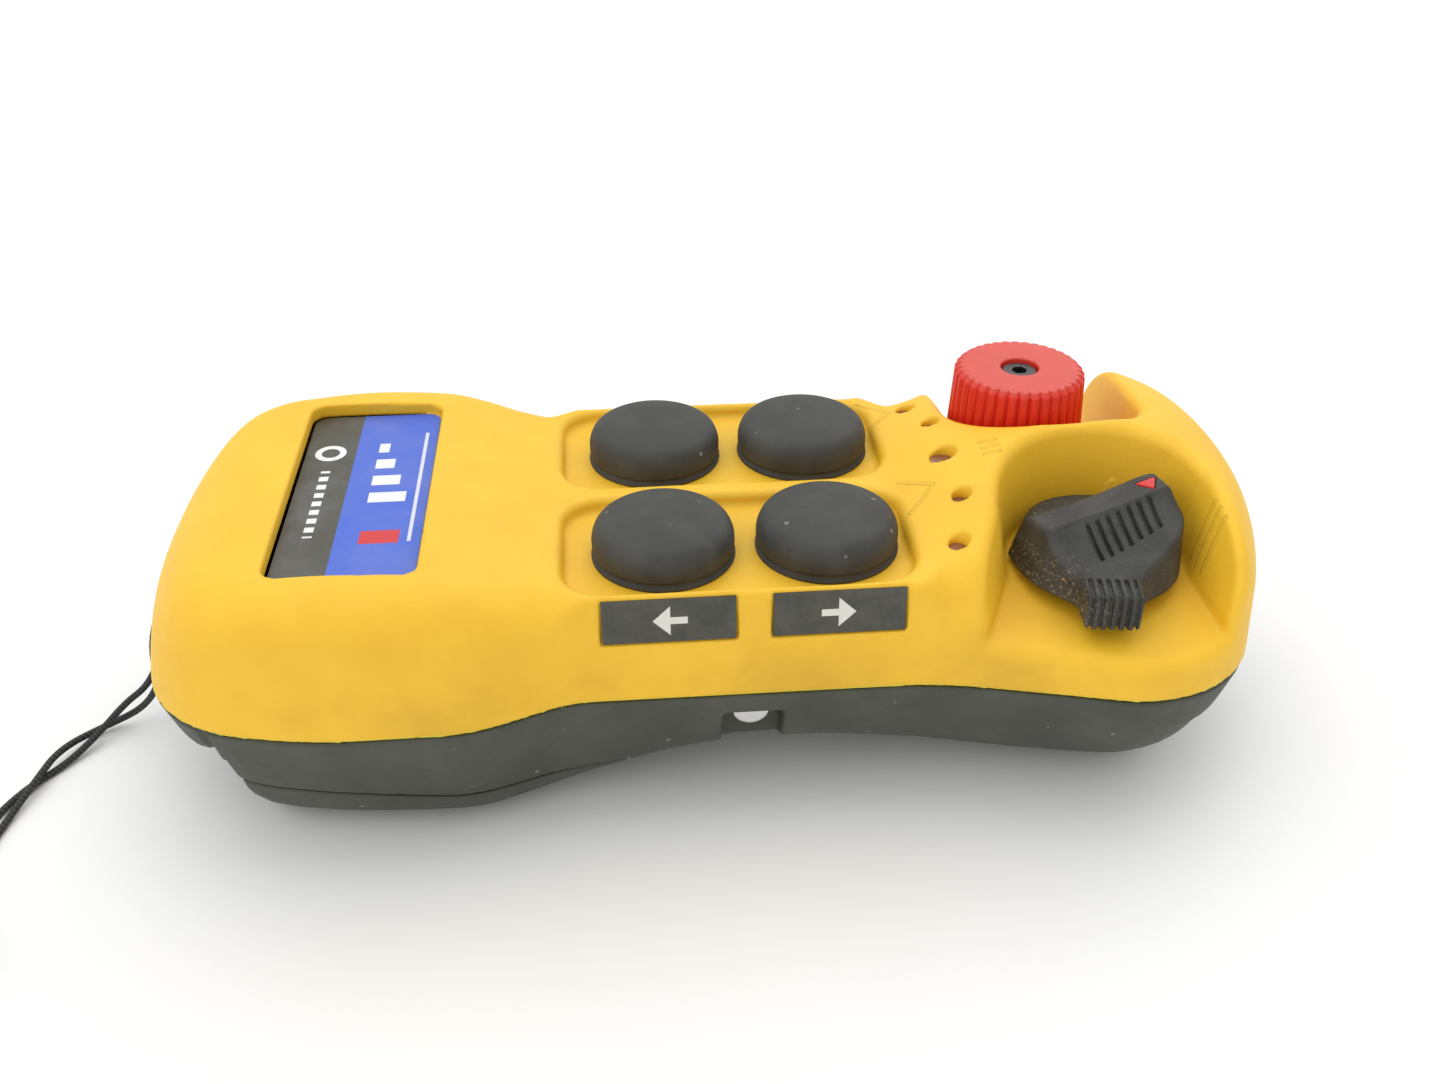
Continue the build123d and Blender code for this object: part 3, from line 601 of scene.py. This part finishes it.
yellow = Finish("yellow_abs")
grain = yellow.noise(0.55, 4.0, 0.6)
broad_blotches = yellow.noise(26.0, 4.0, 0.62)
patches = yellow.noise(7.0, 3.0, 0.6)
over_x, over_y, over_z = (yellow.axis(letter) for letter in "XYZ")
# painted highlight: a pale greenish band along the lower rim of the shell at the parting line
painted_rim_highlight = over_z.ramp(23.42, 23.24)
uneven = (broad_blotches * 0.6 + patches * 0.4).ramp(0.36, 0.72)
yellow_skin = yellow.mix(uneven, srgb(244, 194, 44), srgb(236, 184, 40))
# darker in broad noisy patches towards the bottom, below about 33 mm
low_darkening = over_z.ramp(33.0, 26.0) * broad_blotches.ramp(0.45, 0.7) * 0.35
yellow_skin = yellow.mix(low_darkening, yellow_skin, srgb(188, 146, 40))
yellow.set("Base Color", yellow.mix(painted_rim_highlight * 0.8, yellow_skin, srgb(236, 232, 70)))
yellow.set("Roughness", 0.46 + grain * 0.12 + patches * 0.08)


def line_mask(u, v, start, end, width):
    """1 along a straight line on the housing's top, from one (x, y) in millimetres to another."""
    du, dv = end[0] - start[0], end[1] - start[1]
    length = math.hypot(du, dv)
    du, dv = du / length, dv / length
    ahead = (u - start[0]) * du + (v - start[1]) * dv
    aside = abs((v - start[1]) * du - (u - start[0]) * dv)
    within = abs(ahead - length / 2).ramp(length / 2 + 0.1, length / 2)
    return aside.ramp(width, width * 0.55) * within


# faint raised marks: a chevron beyond each button pair, a half ring and bars by the selector
MARK_WIDTH = 0.32
raised = None
for start, end in (
    ((27.6, 25.4), (32.4, 20.4)), ((27.6, 15.6), (32.4, 20.4)), ((29.6, -2.0), (34.0, -6.4)),
    ((29.6, -11.0), (34.0, -6.4)), ((42.0, -0.4), (44.6, -0.4)), ((42.0, -2.0), (44.6, -2.0)),
    ((42.0, -3.6), (44.6, -3.6)), ((70.4, -17.4), (73.2, -17.0)), ((70.6, -19.2), (73.4, -18.8)),
    ((70.8, -21.0), (73.6, -20.6)), ((70.4, -17.4), (70.8, -21.0)),
):
    mark = line_mask(over_x, over_y, start, end, MARK_WIDTH)
    raised = mark if raised is None else raised.high(mark)
ring_x, ring_y = over_x - 62.6, over_y + 3.6
from_ring = (ring_x * ring_x + ring_y * ring_y).math("SQRT")
raised = raised.high(abs(from_ring - 1.7).ramp(MARK_WIDTH, 0.18) * over_y.ramp(-4.2, -3.8))
raised = raised * over_z.ramp(34.0, 35.0)
yellow.set("Normal", yellow.relief(raised, 0.22, yellow.relief(grain, 0.05)))
front = moulded(
    "front_housing_moulded", front_field, (-88, -39, 21.5), (88, 39, 50), 0.5,
    yellow, "root",
)
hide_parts("front_housing")

# ------------------------------------------------------------------ rear housing
# The lower half, moulded in dark grey-green ABS. It tapers under the joint, swells under the head
# for the palm, and holds the battery bay. Its joint to the front housing is a narrow dark gap.
BOTTOM_STATIONS = (
    (-92, 34.0), (-86, 22.0), (-83.4, 16.6), (-81.0, 13.2), (-77, 11.0), (-73.6, 9.6), (-72.6, 8.0),
    (-71.6, 4.6), (-70.2, 2.0), (-67.6, 0.5), (-64, 0.05), (-58, 0.0), (-40, 0.0), (-31, 0.1),
    (-24, 1.0), (-16, 3.6), (-8, 6.6), (0, 8.1), (10, 8.6), (20, 8.0), (29, 5.7), (38, 2.6), (46, 0.6), (54, 0.0), (63, 0.0),
    (70, 0.7), (75, 3.2), (79, 7.4), (81.6, 12.0), (82.8, 15.0), (84.6, 18.4), (86.6, 25.0), (92, 38.0),
)
JOINT_STATIONS = (
    (-80, 11.0), (-71, 10.7), (-66, 10.4), (-60, 10.4), (-53, 10.1), (-45, 9.3), (-39, 8.8), (-33, 8.5),
    (-27, 8.1), (-21, 7.7), (-13, 8.3),
)
COVER_LEFT = -71.5
COVER_RIGHT = -13.5
COVER_END_X = -49.5
COVER_WALL = 1.8
BAY_X = -42.05
TRAY_X = -42.5
EAR_X = -74.6
EAR_SCREW_X = -75.4
STUD_X = 4.9
NOTCH_Z = 18.3
SCREW_AT = ((-72.5, 19.0), (-26.0, 23.4), (74.6, 9.0))
BOSS_R = 4.7
JOINT_GAP = 0.28
SCREW_WELL_R = 3.1


def rear_body(x, y, z):
    """The rear housing with its cover closed, as a full body that goes on upward."""
    lean_angle = np.radians(14.0 + 4.0 * smooth_step(-x, 34, 64))
    down = PARTING - z
    ends = smooth_step(np.abs(x), 60, 78)
    step = 0.8 * ends * smooth_step(z, 16.2, 15.2)
    side = (plan_distance(x, y) + down * np.tan(lean_angle) + step) * np.cos(lean_angle)
    slope = curve_height(x + 0.5, BOTTOM_STATIONS) - curve_height(x - 0.5, BOTTOM_STATIONS)
    palm = smooth_step(x, 20.0, 50.0)
    dome = np.maximum(np.abs(y) - (15.0 - 9.0 * palm), 0) ** 2 * 0.009
    bottom = (curve_height(x, BOTTOM_STATIONS) + dome - z) / np.sqrt(1 + slope**2)
    waist = smooth_step(np.abs(x - 6), 34.0, 14.0)
    return meet(side, bottom, 6.5 + 4.5 * palm - 0.5 * waist)


def cover_space(x, y, z, grow):
    """The space that the battery cover fills, larger by grow on its joint faces."""
    over = z - curve_height(x, JOINT_STATIONS) - grow
    past_x = np.maximum(COVER_END_X - x, 0)
    past_y = np.maximum(np.abs(y) - 18.0, 0)
    round_end = np.hypot(past_x, past_y) - 22.0 - grow
    left = np.where(x < COVER_END_X, round_end, COVER_LEFT - x - grow)
    ends = np.maximum(left, x - COVER_RIGHT - grow)
    ear = block(x - EAR_X, y, z - 4.45, 5.2 + grow, 6.5 + grow, 9.45 + grow, 0.5)
    return np.minimum(np.maximum(over, ends), ear)


def upright(x, y, cx, cy, radius):
    """Distance to a pair of upright cylinders, one on each side of the middle."""
    return np.hypot(x - cx, np.abs(y) - cy) - radius


def rear_field(x, y, z):
    """The rear housing as moulded, with the battery bay, screw wells, strap pockets and notch."""
    body = rear_body(x, y, z)
    over_cover = np.maximum(
        z - curve_height(x, JOINT_STATIONS) - COVER_WALL, np.abs(x - TRAY_X) - 31.0)
    bay_block = block(x - BAY_X, y, z - 9.0, 28.15, 16.7, 10.7)
    pocket_wall = block(x - STUD_X, np.abs(y) - 27.0, z - 13.7, 6.3, 8.0, 7.9)
    bosses = [upright(x, y, sx, sy, BOSS_R) for sx, sy in SCREW_AT]
    notch_wall = block(x + 81.0, y, z - NOTCH_Z, 6.0, 6.5, 4.9)
    solid = np.minimum.reduce([over_cover, bay_block, pocket_wall, *bosses, notch_wall])
    shell = np.maximum(body, -(body + WALL))
    shell = np.minimum(shell, np.maximum(solid, body))
    shell = meet(shell, z - (PARTING - JOINT_GAP), 0.3)
    shell = np.maximum(shell, -block(x - BAY_X, y, z - 5.0, 26.65, 15.2, 13.2))
    shell = carve(shell, cover_space(x, y, z, 0.16), 0.35)
    pocket = block(x - STUD_X, np.abs(y) - 27.2, z - 13.2, 4.5, 6.0, 5.6, 1.0)
    shell = carve(shell, pocket, 0.5)
    notch = block(x + 84.0, y, z - NOTCH_Z, 5.4, 4.5, 2.9, 0.8)
    shell = carve(shell, notch, 0.4)
    for sx, sy in SCREW_AT:
        shell = carve(shell, np.maximum(upright(x, y, sx, sy, SCREW_WELL_R), z - 15.0), 0.3)
    return np.maximum(shell, -np.maximum(np.hypot(x - EAR_SCREW_X, y) - 2.4, z - 20.0))


rear_plastic = Finish("grey_green_abs")
rear_grain = rear_plastic.noise(0.5, 3.0, 0.6)
rear_patches = rear_plastic.noise(14.0, 4.0, 0.6)
dust = rear_plastic.specks(1.5, 0.05)
rear_colour = rear_plastic.mix(rear_patches.ramp(0.35, 0.7), srgb(64, 66, 58), srgb(76, 78, 68))
rear_plastic.set("Base Color", rear_plastic.mix(dust * 0.55, rear_colour, srgb(150, 148, 132)))
rear_plastic.set("Roughness", 0.48 + rear_grain * 0.16)
rear_plastic.set("Normal", rear_plastic.relief(rear_grain, 0.05))
rear = moulded(
    "rear_housing_moulded", rear_field, (-88, -38, -0.8), (88, 38, 24), 0.5,
    rear_plastic, "root",
)
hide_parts("rear_housing")


# ------------------------------------------------------------------ battery cover
# A thin moulded tray that closes the bay, in the same grey-green plastic. Two tongues locate its
# right end and one captive screw in the ear at its left end holds it.
def cover_field(x, y, z):
    """The cover as moulded: the rear body below the joint line, hollowed from above."""
    body = rear_body(x, y, z)
    region = cover_space(x, y, z, -0.24)
    inside = np.maximum(body + COVER_WALL, np.abs(x - TRAY_X) - 27.7)
    tray = np.maximum(meet(body, region, 0.5), -inside)
    tongues = block(x + 14.7, np.abs(y) - 9.0, z - 10.3, 0.45, 3.0, 2.3, 0.2)
    tray = np.minimum(tray, tongues)
    well = np.hypot(x - EAR_SCREW_X, y)
    tray = np.maximum(tray, -np.maximum(well - 4.1, z - 12.1))
    return np.maximum(tray, -(well - 1.8))


cover = moulded(
    "battery_cover_moulded", cover_field, (-81, -36, -0.8), (-12, 36, 15), 0.45,
    rear_plastic, "cover",
)
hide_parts("battery_cover")


# ------------------------------------------------------------------ push buttons
# Four soft rubber boots. Each is one moulding: a domed cap, a thin fold that gives when it is
# pressed, and a flange that is clamped round a hole in the channel's floor.
def turned(name, outline, sides, centre, finish, slot, radius_at=None):
    """A piece of revolution from a closed (radius, height) outline in millimetres."""
    count = len(outline)
    points = []
    for step in range(sides):
        a = 2 * math.pi * step / sides
        for index, (r, h) in enumerate(outline):
            reach = radius_at(r, h, a) if radius_at else r
            points.append((
                (centre[0] + reach * math.cos(a)) * MM,
                (centre[1] + reach * math.sin(a)) * MM,
                h * MM,
            ))
    faces = []
    for step in range(sides):
        after = (step + 1) % sides
        for index in range(count - 1):
            faces.append((
                step * count + index, after * count + index,
                after * count + index + 1, step * count + index + 1,
            ))
    piece = make_object(name, points, faces, finish, None)
    mesh = bmesh.new()
    mesh.from_mesh(piece.data)
    bmesh.ops.remove_doubles(mesh, verts=mesh.verts, dist=0.002 * MM)
    bmesh.ops.dissolve_degenerate(mesh, edges=mesh.edges, dist=0.0005 * MM)
    bmesh.ops.recalc_face_normals(mesh, faces=mesh.faces)
    mesh.to_mesh(piece.data)
    mesh.free()
    return piece


rubber = Finish("black_rubber")
rubber_grain = rubber.noise(0.35, 3.0, 0.6)
handling = rubber.noise(6.0, 3.0, 0.6)
lint = rubber.specks(1.5, 0.05)
rubber_colour = rubber.mix(handling.ramp(0.35, 0.7), srgb(52, 52, 50), srgb(66, 66, 63))
rubber.set("Base Color", rubber.mix(lint * 0.6, rubber_colour, srgb(150, 148, 135)))
rubber.set("Roughness", 0.55 + handling * 0.22)
rubber.set("Normal", rubber.relief(rubber_grain, 0.03))

BOOT_CORNERS = (
    (0.0, 44.35, 0), (5.6, 44.25, 20), (9.6, 43.5, 2.4), (10.35, 41.2, 3.4), (10.3, 39.5, 0.5),
    (9.95, 39.05, 0.35), (10.1, 38.65, 0.3), (10.45, 38.5, 0.2), (10.45, 38.0, 0.1), (9.3, 38.0, 0),
    (9.2, 35.6, 0), (10.2, 35.5, 0), (10.2, 34.9, 0), (8.2, 34.9, 0), (8.2, 39.5, 0.5), (9.0, 41.4, 0.5),
    (8.6, 43.2, 0.6), (0.0, 43.5, 0),
)
boot_outline = [tuple(p) for p in rounded_outline(BOOT_CORNERS, 5)]
for side, end in ((-1, "near"), (1, "far")):
    for column, bx in zip(("left", "right"), BUTTON_X):
        spot = f"{end}_{column}"
        centre = (bx, side * BUTTON_Y)
        boot = turned(f"button_boot_{spot}", boot_outline, 72, centre, rubber, "button_rubber")
        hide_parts(f"button_crown_{spot}", f"button_skirt_{spot}")
        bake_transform(boot)

# ------------------------------------------------------------------ emergency stop
# A red nylon mushroom knob with a fluted grip, held to its stem by one black socket screw.
red = Finish("red_nylon")
red_blotches = red.noise(5.0, 4.0, 0.65)
# the flat top is paler, evenly and more so in noisy patches
pale_top = red.axis("Z").ramp(50.6, 51.1) * (0.55 + 0.45 * red_blotches.ramp(0.35, 0.65))
red.set("Base Color", red.mix(pale_top * 0.6, srgb(220, 42, 22), srgb(196, 74, 60)))
red.set("Roughness", 0.30 + red_blotches * 0.22)
red.set("Normal", red.relief(red.noise(0.4, 3.0, 0.6), 0.02))
KNOB_TOP = 51.2
KNOB_FOOT = 38.8
FLUTES = 36
FLUTE_DEPTH = 0.72
KNOB_SIDES = 16 * FLUTES
KNOB_CORNERS = (
    (3.0, KNOB_TOP - 0.2, 0.15), (3.15, KNOB_TOP, 0.15), (9.55, KNOB_TOP, 0.45),
    (10.3, KNOB_TOP - 0.7, 0.5), (10.8, KNOB_FOOT + 0.9, 0.6), (10.4, KNOB_FOOT, 0.5),
    (8.3, KNOB_FOOT, 0), (8.3, KNOB_FOOT + 6.4, 0), (6.0, KNOB_FOOT + 6.4, 0), (6.0, KNOB_FOOT, 0),
    (4.05, KNOB_FOOT, 0), (4.05, KNOB_FOOT + 9.0, 0), (1.5, KNOB_FOOT + 9.0, 0),
    (1.5, KNOB_TOP - 2.2, 0), (3.0, KNOB_TOP - 2.2, 0), (3.0, KNOB_TOP - 0.2, 0),
)


def with_rows(corners, gap, steps=4):
    """An outline with extra points along its long straight runs."""
    raw = rounded_outline(corners[:-1], steps)
    rows = []
    for a, b in zip(raw, np.roll(raw, -1, axis=0)):
        parts = max(1, int(np.linalg.norm(b - a) / gap))
        rows += [tuple(a + (b - a) * k / parts) for k in range(parts)]
    return rows + [rows[0]]


def fluted(r, h, a):
    """Rounded ribs with narrow grooves between them, only on the outside of the grip."""
    outer = float(smooth_step(np.array(r), 8.9, 9.9))
    groove = 1 - abs(math.cos(a * FLUTES / 2)) ** 0.55
    fade = float(smooth_step(np.array(h), KNOB_FOOT - 0.2, KNOB_FOOT + 0.6))
    return r - FLUTE_DEPTH * outer * groove * (0.45 + 0.55 * fade)


knob_outline = with_rows(KNOB_CORNERS, 1.2)
knob = turned("stop_knob_fluted", knob_outline, KNOB_SIDES, ESTOP_AT, red, "red_plastic", fluted)
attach(knob, "estop_head")
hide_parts("estop_knob")

# ------------------------------------------------------------------ selector
# A rubber-covered rotary knob: a round foot that gathers dust, a finger bar that rises to its
# pointing end, a scooped flank with grip grooves, and a ribbed thumb tab towards the user.
BAR_TURN = math.radians(13.0)
TAB_TURN = math.radians(-98.0)
FOOT_Z = 33.5
FOOT_TOP = 4.4
TAB_REACH = 12.6
TAB_HALF = 3.9
GROOVES = 7
GROOVE_PITCH = 1.65
RIB_PITCH = 1.25
POINTER_DEPTH = 1.0
RIDGE_STATIONS = (
    (-14, 7.0), (-10.6, 7.7), (-6, 8.5), (-1, 9.3), (4, 10.5), (8, 11.5), (10, 11.7), (13, 11.5),
)


def turned_axes(x, y, turn):
    """Places along and across a line through the selector's centre, turned from the X axis."""
    across_x, across_y = x - SELECTOR_AT[0], y - SELECTOR_AT[1]
    return (across_x * math.cos(turn) + across_y * math.sin(turn),
            -across_x * math.sin(turn) + across_y * math.cos(turn))


def pointer_plan(u, v):
    """A small triangle on the ridge, its point towards the scooped side."""
    return np.maximum(v - 1.3, (np.abs(u - 7.6) - 0.64 * (v + 1.2)) * 0.85)


def selector_field(x, y, z):
    """The knob as one body: a tapered plan, and a height that falls both ways from the ridge."""
    u, v = turned_axes(x, y, BAR_TURN)
    tab_u, tab_v = turned_axes(x, y, TAB_TURN)
    w = z - FOOT_Z
    up = np.maximum(w, 0)
    spread = np.hypot(u, v)
    # plan: a round foot drawn out into the thumb tab, leaning in more on the low side
    lean = 0.08 + 0.36 * smooth_step(-u - 0.6 * v, -4.0, 9.0)
    round_side = (spread - 12.3 + lean * up) * 0.95
    web_side = np.abs(tab_v) - TAB_HALF - 0.62 * np.maximum(13.2 - tab_u, 0)
    web = np.maximum(web_side * 0.85, tab_u - 14.5)
    plan = join(round_side, np.maximum(web, -tab_u), 1.5)
    # height: a flat ridge along the bar, a steep far side and a scooped near side
    ridge = curve_height(u, RIDGE_STATIONS)
    past = np.maximum(-1.6 - v, 0)
    scooped = ridge - 6.4 * (1 - np.exp(-past / 7.0))
    near_top = (w - scooped) * 0.85
    far_side = (w - ridge + 1.5 * (v - 2.9)) * 0.55
    finger = meet(near_top, far_side, 0.8)
    low_part = meet(plan, w - FOOT_TOP, 1.2)
    high_part = meet(meet(plan + 0.3 * smooth_step(v, -6, 0), finger, 0.7), -w, 0.3)
    nose = (u - 11.6 + 0.12 * w) * 0.98
    high_part = meet(high_part, nose, 1.0)
    body = join(meet(low_part, -w, 0.4), high_part, 0.5)
    # the thumb tab, with ribs over its top and end
    tab = block(tab_u - TAB_REACH, tab_v, w - 1.85, 4.6, TAB_HALF, 2.95, 0.8)
    body = join(body, tab, 0.9)
    groove = np.abs((tab_v / RIB_PITCH) % 1.0 - 0.5) * RIB_PITCH - 0.27
    groove = np.maximum(groove, np.maximum(TAB_REACH - tab_u, np.abs(tab_v) - 3.4))
    groove = np.maximum(groove, -(tab + 0.5))
    body = meet(body, -groove, 0.12)
    # grip grooves across the upper part of the scooped side
    along = (u + 3.6) / GROOVE_PITCH
    index = np.clip(np.round(along), 0, GROOVES - 1)
    line = np.abs(along - index) * GROOVE_PITCH - 0.32
    reach = np.abs(v + 4.5 - 0.10 * (u - 1)) - 2.2 - 0.05 * (6 - u)
    cut = np.maximum(np.maximum(line, reach), -(near_top + 0.85))
    body = meet(body, -cut, 0.2)
    body = np.maximum(body, -np.maximum(spread - 3.0, w - 4.5))
    return np.maximum(body, -np.maximum(pointer_plan(u, v) - 0.08, ridge - POINTER_DEPTH - w))


def pointer_field(x, y, z):
    """The inlay that fills the triangular pocket, level with the ridge round it."""
    u, v = turned_axes(x, y, BAR_TURN)
    above_ridge = z - FOOT_Z - curve_height(u, RIDGE_STATIONS)
    height = np.maximum(above_ridge - 0.06, -(POINTER_DEPTH - 0.1) - above_ridge)
    return np.maximum(pointer_plan(u, v), height)


knob_rubber = Finish("selector_rubber")
knob_grain = knob_rubber.noise(0.35, 3.0, 0.6)
low_down = knob_rubber.axis("Z").ramp(39.5, 36.5)
left_side = knob_rubber.axis("X").ramp(57.0, 50.0)
fibres = knob_rubber.noise(0.5, 5.0, 0.75)
dusty = fibres.ramp(0.52, 0.72) * (0.10 + 0.75 * low_down * left_side + 0.15 * low_down)
handled = knob_rubber.noise(5.0, 3.0).ramp(0.35, 0.7)
knob_colour = knob_rubber.mix(handled, srgb(46, 46, 44), srgb(62, 62, 60))
knob_rubber.set("Base Color", knob_rubber.mix(dusty, knob_colour, srgb(170, 155, 115)))
knob_rubber.set("Roughness", 0.5 + knob_grain * 0.2 + dusty * 0.2)
knob_rubber.set("Normal", knob_rubber.relief(knob_grain, 0.04))
selector = moulded(
    "selector_knob_moulded", selector_field, (42.5, -34, 31), (71.5, 0, 46), 0.28,
    knob_rubber, "selector",
)
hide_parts("selector_knob")


def grained(name, noise, dark, light, smoothest, range_up, **constants):
    """A plain finish whose colour and gloss both follow one noise."""
    made = Finish(name, **constants)
    lumps = made.noise(*noise)
    made.set("Base Color", made.mix(lumps, srgb(*dark), srgb(*light)))
    made.set("Roughness", smoothest + lumps * range_up)
    return made, lumps


pointer_red, _ = grained("pointer_red", (0.9, 3.0, 0.6), (196, 22, 26), (224, 44, 44), 0.32, 0.2)
pointer = moulded(
    "selector_pointer_inlay", pointer_field, (61.5, -16, 42), (68.5, -9.5, 47), 0.16, pointer_red, "selector")
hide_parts("selector_pointer")

# ------------------------------------------------------------------ label
# A printed polyester label with rounded corners in a shallow pocket: a dark band and a blue field
# with plain marks in place of print.
label_outline = rounded_outline(
    ((-61.35, -25.3, 2.3), (-41.25, -25.3, 2.3), (-41.25, 23.5, 2.3), (-61.35, 23.5, 2.3)), 6)


def plate(name, outline, low, high, bevel, finish, body):
    """A flat plate from a plan outline, its top edge softened by a small bevel."""
    centre = outline.mean(axis=0)
    rings = ((1.0, low), (1.0, high - bevel), (0.0, high))
    points = []
    for keep, height in rings:
        for p in outline:
            inward = centre - p
            inward = inward / np.linalg.norm(inward) * bevel * (1 - keep)
            points.append(((p[0] + inward[0]) * MM, (p[1] + inward[1]) * MM, height * MM))
    count = len(outline)
    faces = [tuple(reversed(range(count))), tuple(range(2 * count, 3 * count))]
    for level in (0, 1):
        for k in range(count):
            after = (k + 1) % count
            faces.append((level * count + k, level * count + after,
                          (level + 1) * count + after, (level + 1) * count + k))
    return make_object(name, points, faces, finish, body, smooth=False)


print_finish = Finish("label_print")
across_label = print_finish.axis("X") - LABEL_MIDDLE
along_label = print_finish.axis("Y")
blue_part = across_label.ramp(-2.3, -2.2)
marks = None
for index, height in enumerate((1.6, 2.9, 4.2, 5.5)):
    bar_width = abs(along_label - (12.5 - 5.0 * index)).ramp(1.45, 1.35)
    bar_height = abs(across_label - (1.2 + height / 2)).ramp(height / 2 + 0.05, height / 2 - 0.05)
    bar = bar_width * bar_height
    marks = bar if marks is None else marks.high(bar)
rule = abs(across_label - 8.3).ramp(0.30, 0.24) * abs(along_label - 1.0).ramp(16.0, 15.9)
band_x, ring_y = across_label + 6.2, along_label - 11.5
ring = abs((band_x * band_x + ring_y * ring_y).math("SQRT") - 1.9).ramp(0.55, 0.45)
dashes = abs((along_label / 2.4).math("FRACT") - 0.5).ramp(0.30, 0.25)
dashes = dashes * abs(band_x).ramp(0.75, 0.65) * abs(along_label + 3.5).ramp(9.5, 9.4)
marks = marks.high(rule * 0.8).high(ring).high(dashes)
red_mark = abs(along_label + 13.5).ramp(1.75, 1.65) * abs(across_label - 4.0).ramp(2.85, 2.75)
worn = print_finish.noise(9.0, 4.0, 0.6)
field_colour = print_finish.mix(blue_part, srgb(70, 69, 60), srgb(62, 98, 208))
field_colour = print_finish.mix(worn.ramp(0.35, 0.75) * 0.16, field_colour, srgb(160, 165, 180))
with_marks = print_finish.mix(marks, field_colour, srgb(232, 234, 238))
print_finish.set("Base Color", print_finish.mix(red_mark, with_marks, srgb(205, 45, 50)))
print_finish.set("Roughness", 0.32 + worn * 0.16)
print_finish.set("Normal", print_finish.relief(print_finish.noise(0.8, 2.0), 0.01))
label = plate(
    "front_label_printed", label_outline, LABEL_FOOT, LABEL_FOOT + 0.4, 0.08, print_finish, "root")
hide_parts("front_label")

# ------------------------------------------------------------------ plates, lamps and small parts
# The engraved legend plates, the light guide, the metal pieces and what shows inside the battery
# bay keep their machined or moulded shapes and take their finishes here.


def dress(finish, *names):
    """Gives one finish to several pieces."""
    for name in names:
        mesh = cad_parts[name].data
        mesh.materials.clear()
        mesh.materials.append(finish.material)


def legend_finish(name, bx, direction):
    """Engraving plastic, dark with a white arrow cut through to its core."""
    made = Finish(name)
    ahead = (made.axis("X") - bx) * direction
    above = abs(made.axis("Z") - LEGEND_Z)
    head = (above + (ahead - 2.3) * 0.95).ramp(0.06, -0.06) * ahead.ramp(-0.25, -0.15)
    shaft = above.ramp(0.62, 0.52) * abs(ahead + 1.3).ramp(1.35, 1.25)
    cut = head.high(shaft)
    scuffs = made.noise(3.0, 4.0, 0.65)
    dark = made.mix(scuffs.ramp(0.3, 0.7), srgb(62, 62, 55), srgb(78, 78, 70))
    made.set("Base Color", made.mix(cut, dark, srgb(222, 220, 212)))
    made.set("Roughness", 0.42 + scuffs * 0.2)
    made.set("Normal", made.relief(1 - cut, 0.15))
    return made


for column, bx, direction in (("left", BUTTON_X[0], -1), ("right", BUTTON_X[1], 1)):
    engraved = legend_finish(f"legend_{column}", bx, direction)
    dress(engraved, f"legend_plate_near_{column}", f"legend_plate_far_{column}")

lamp = Finish("smoked_lens", Roughness=0.22)
lamp.set("Base Color", lamp.mix(lamp.noise(1.2, 2.0), srgb(122, 76, 52), srgb(148, 98, 72)))
dress(lamp, "light_guide")

black_steel, _ = grained(
    "black_steel", (0.8, 4.0, 0.6), (52, 52, 54), (86, 86, 88), 0.28, 0.2, Metallic=0.85)
dress(black_steel, "estop_screw", "housing_screws", "battery_cover_screw")

bright_steel, _ = grained(
    "bright_steel", (0.5, 4.0, 0.6), (205, 206, 208), (232, 232, 233), 0.16, 0.16, Metallic=1.0)
dress(
    bright_steel, "strap_stud_near", "strap_stud_far", "lanyard_pin", "battery_spring_near",
    "battery_spring_far", "battery_contacts", "estop_nut", "selector_nut", "selector_shaft", "estop_plunger",
)

brass, _ = grained("plated_brass", (0.7, 3.0), (190, 170, 120), (214, 196, 148), 0.22, 0.2, Metallic=1.0)
dress(brass, "threaded_inserts", "antenna")

black_moulding, moulding_grain = grained(
    "black_moulding", (0.6, 3.0, 0.6), (30, 31, 31), (48, 49, 48), 0.42, 0.2)
black_moulding.set("Normal", black_moulding.relief(moulding_grain, 0.03))
dress(
    black_moulding, "estop_bush", "selector_bush", "estop_contact_block", "selector_switch",
    "controller_chip", "lanyard_crimp", "housing_seal",
)
for end in ("near", "far"):
    for column in ("left", "right"):
        dress(black_moulding, f"push_switch_{end}_{column}", f"button_plunger_{end}_{column}")

board = Finish("solder_mask_green")
tracks = board.noise(1.6, 2.0, 0.4)
board.set("Base Color", board.mix(tracks.ramp(0.48, 0.52), srgb(22, 82, 48), srgb(32, 106, 62)))
board.set("Roughness", 0.28 + tracks * 0.15)
dress(board, "main_board")

tin, _ = grained("tinned_can", (1.5, 3.0), (176, 178, 180), (206, 207, 208), 0.25, 0.2, Metallic=0.9)
dress(tin, "radio_module")

led = Finish("led_bodies", Roughness=0.3)
led.set("Base Color", led.mix(led.noise(1.0, 2.0), srgb(220, 222, 215), srgb(240, 240, 236)))
dress(led, "status_leds")

cell_wrap = Finish("cell_wrap")
along_cell = cell_wrap.axis("X")
collar = along_cell.ramp(-56.4, -56.6)
terminal = along_cell.ramp(-66.9, -67.1)
print_noise = cell_wrap.noise(4.0, 3.0)
wrap = cell_wrap.mix(print_noise, srgb(34, 36, 38), srgb(46, 48, 50))
sleeve = cell_wrap.mix(collar, wrap, srgb(196, 128, 62))
cell_wrap.set("Base Color", cell_wrap.mix(terminal, sleeve, srgb(214, 214, 214)))
cell_wrap.set("Metallic", terminal)
cell_wrap.set("Roughness", 0.24 + print_noise * 0.18)
dress(cell_wrap, "battery_cell_near", "battery_cell_far")
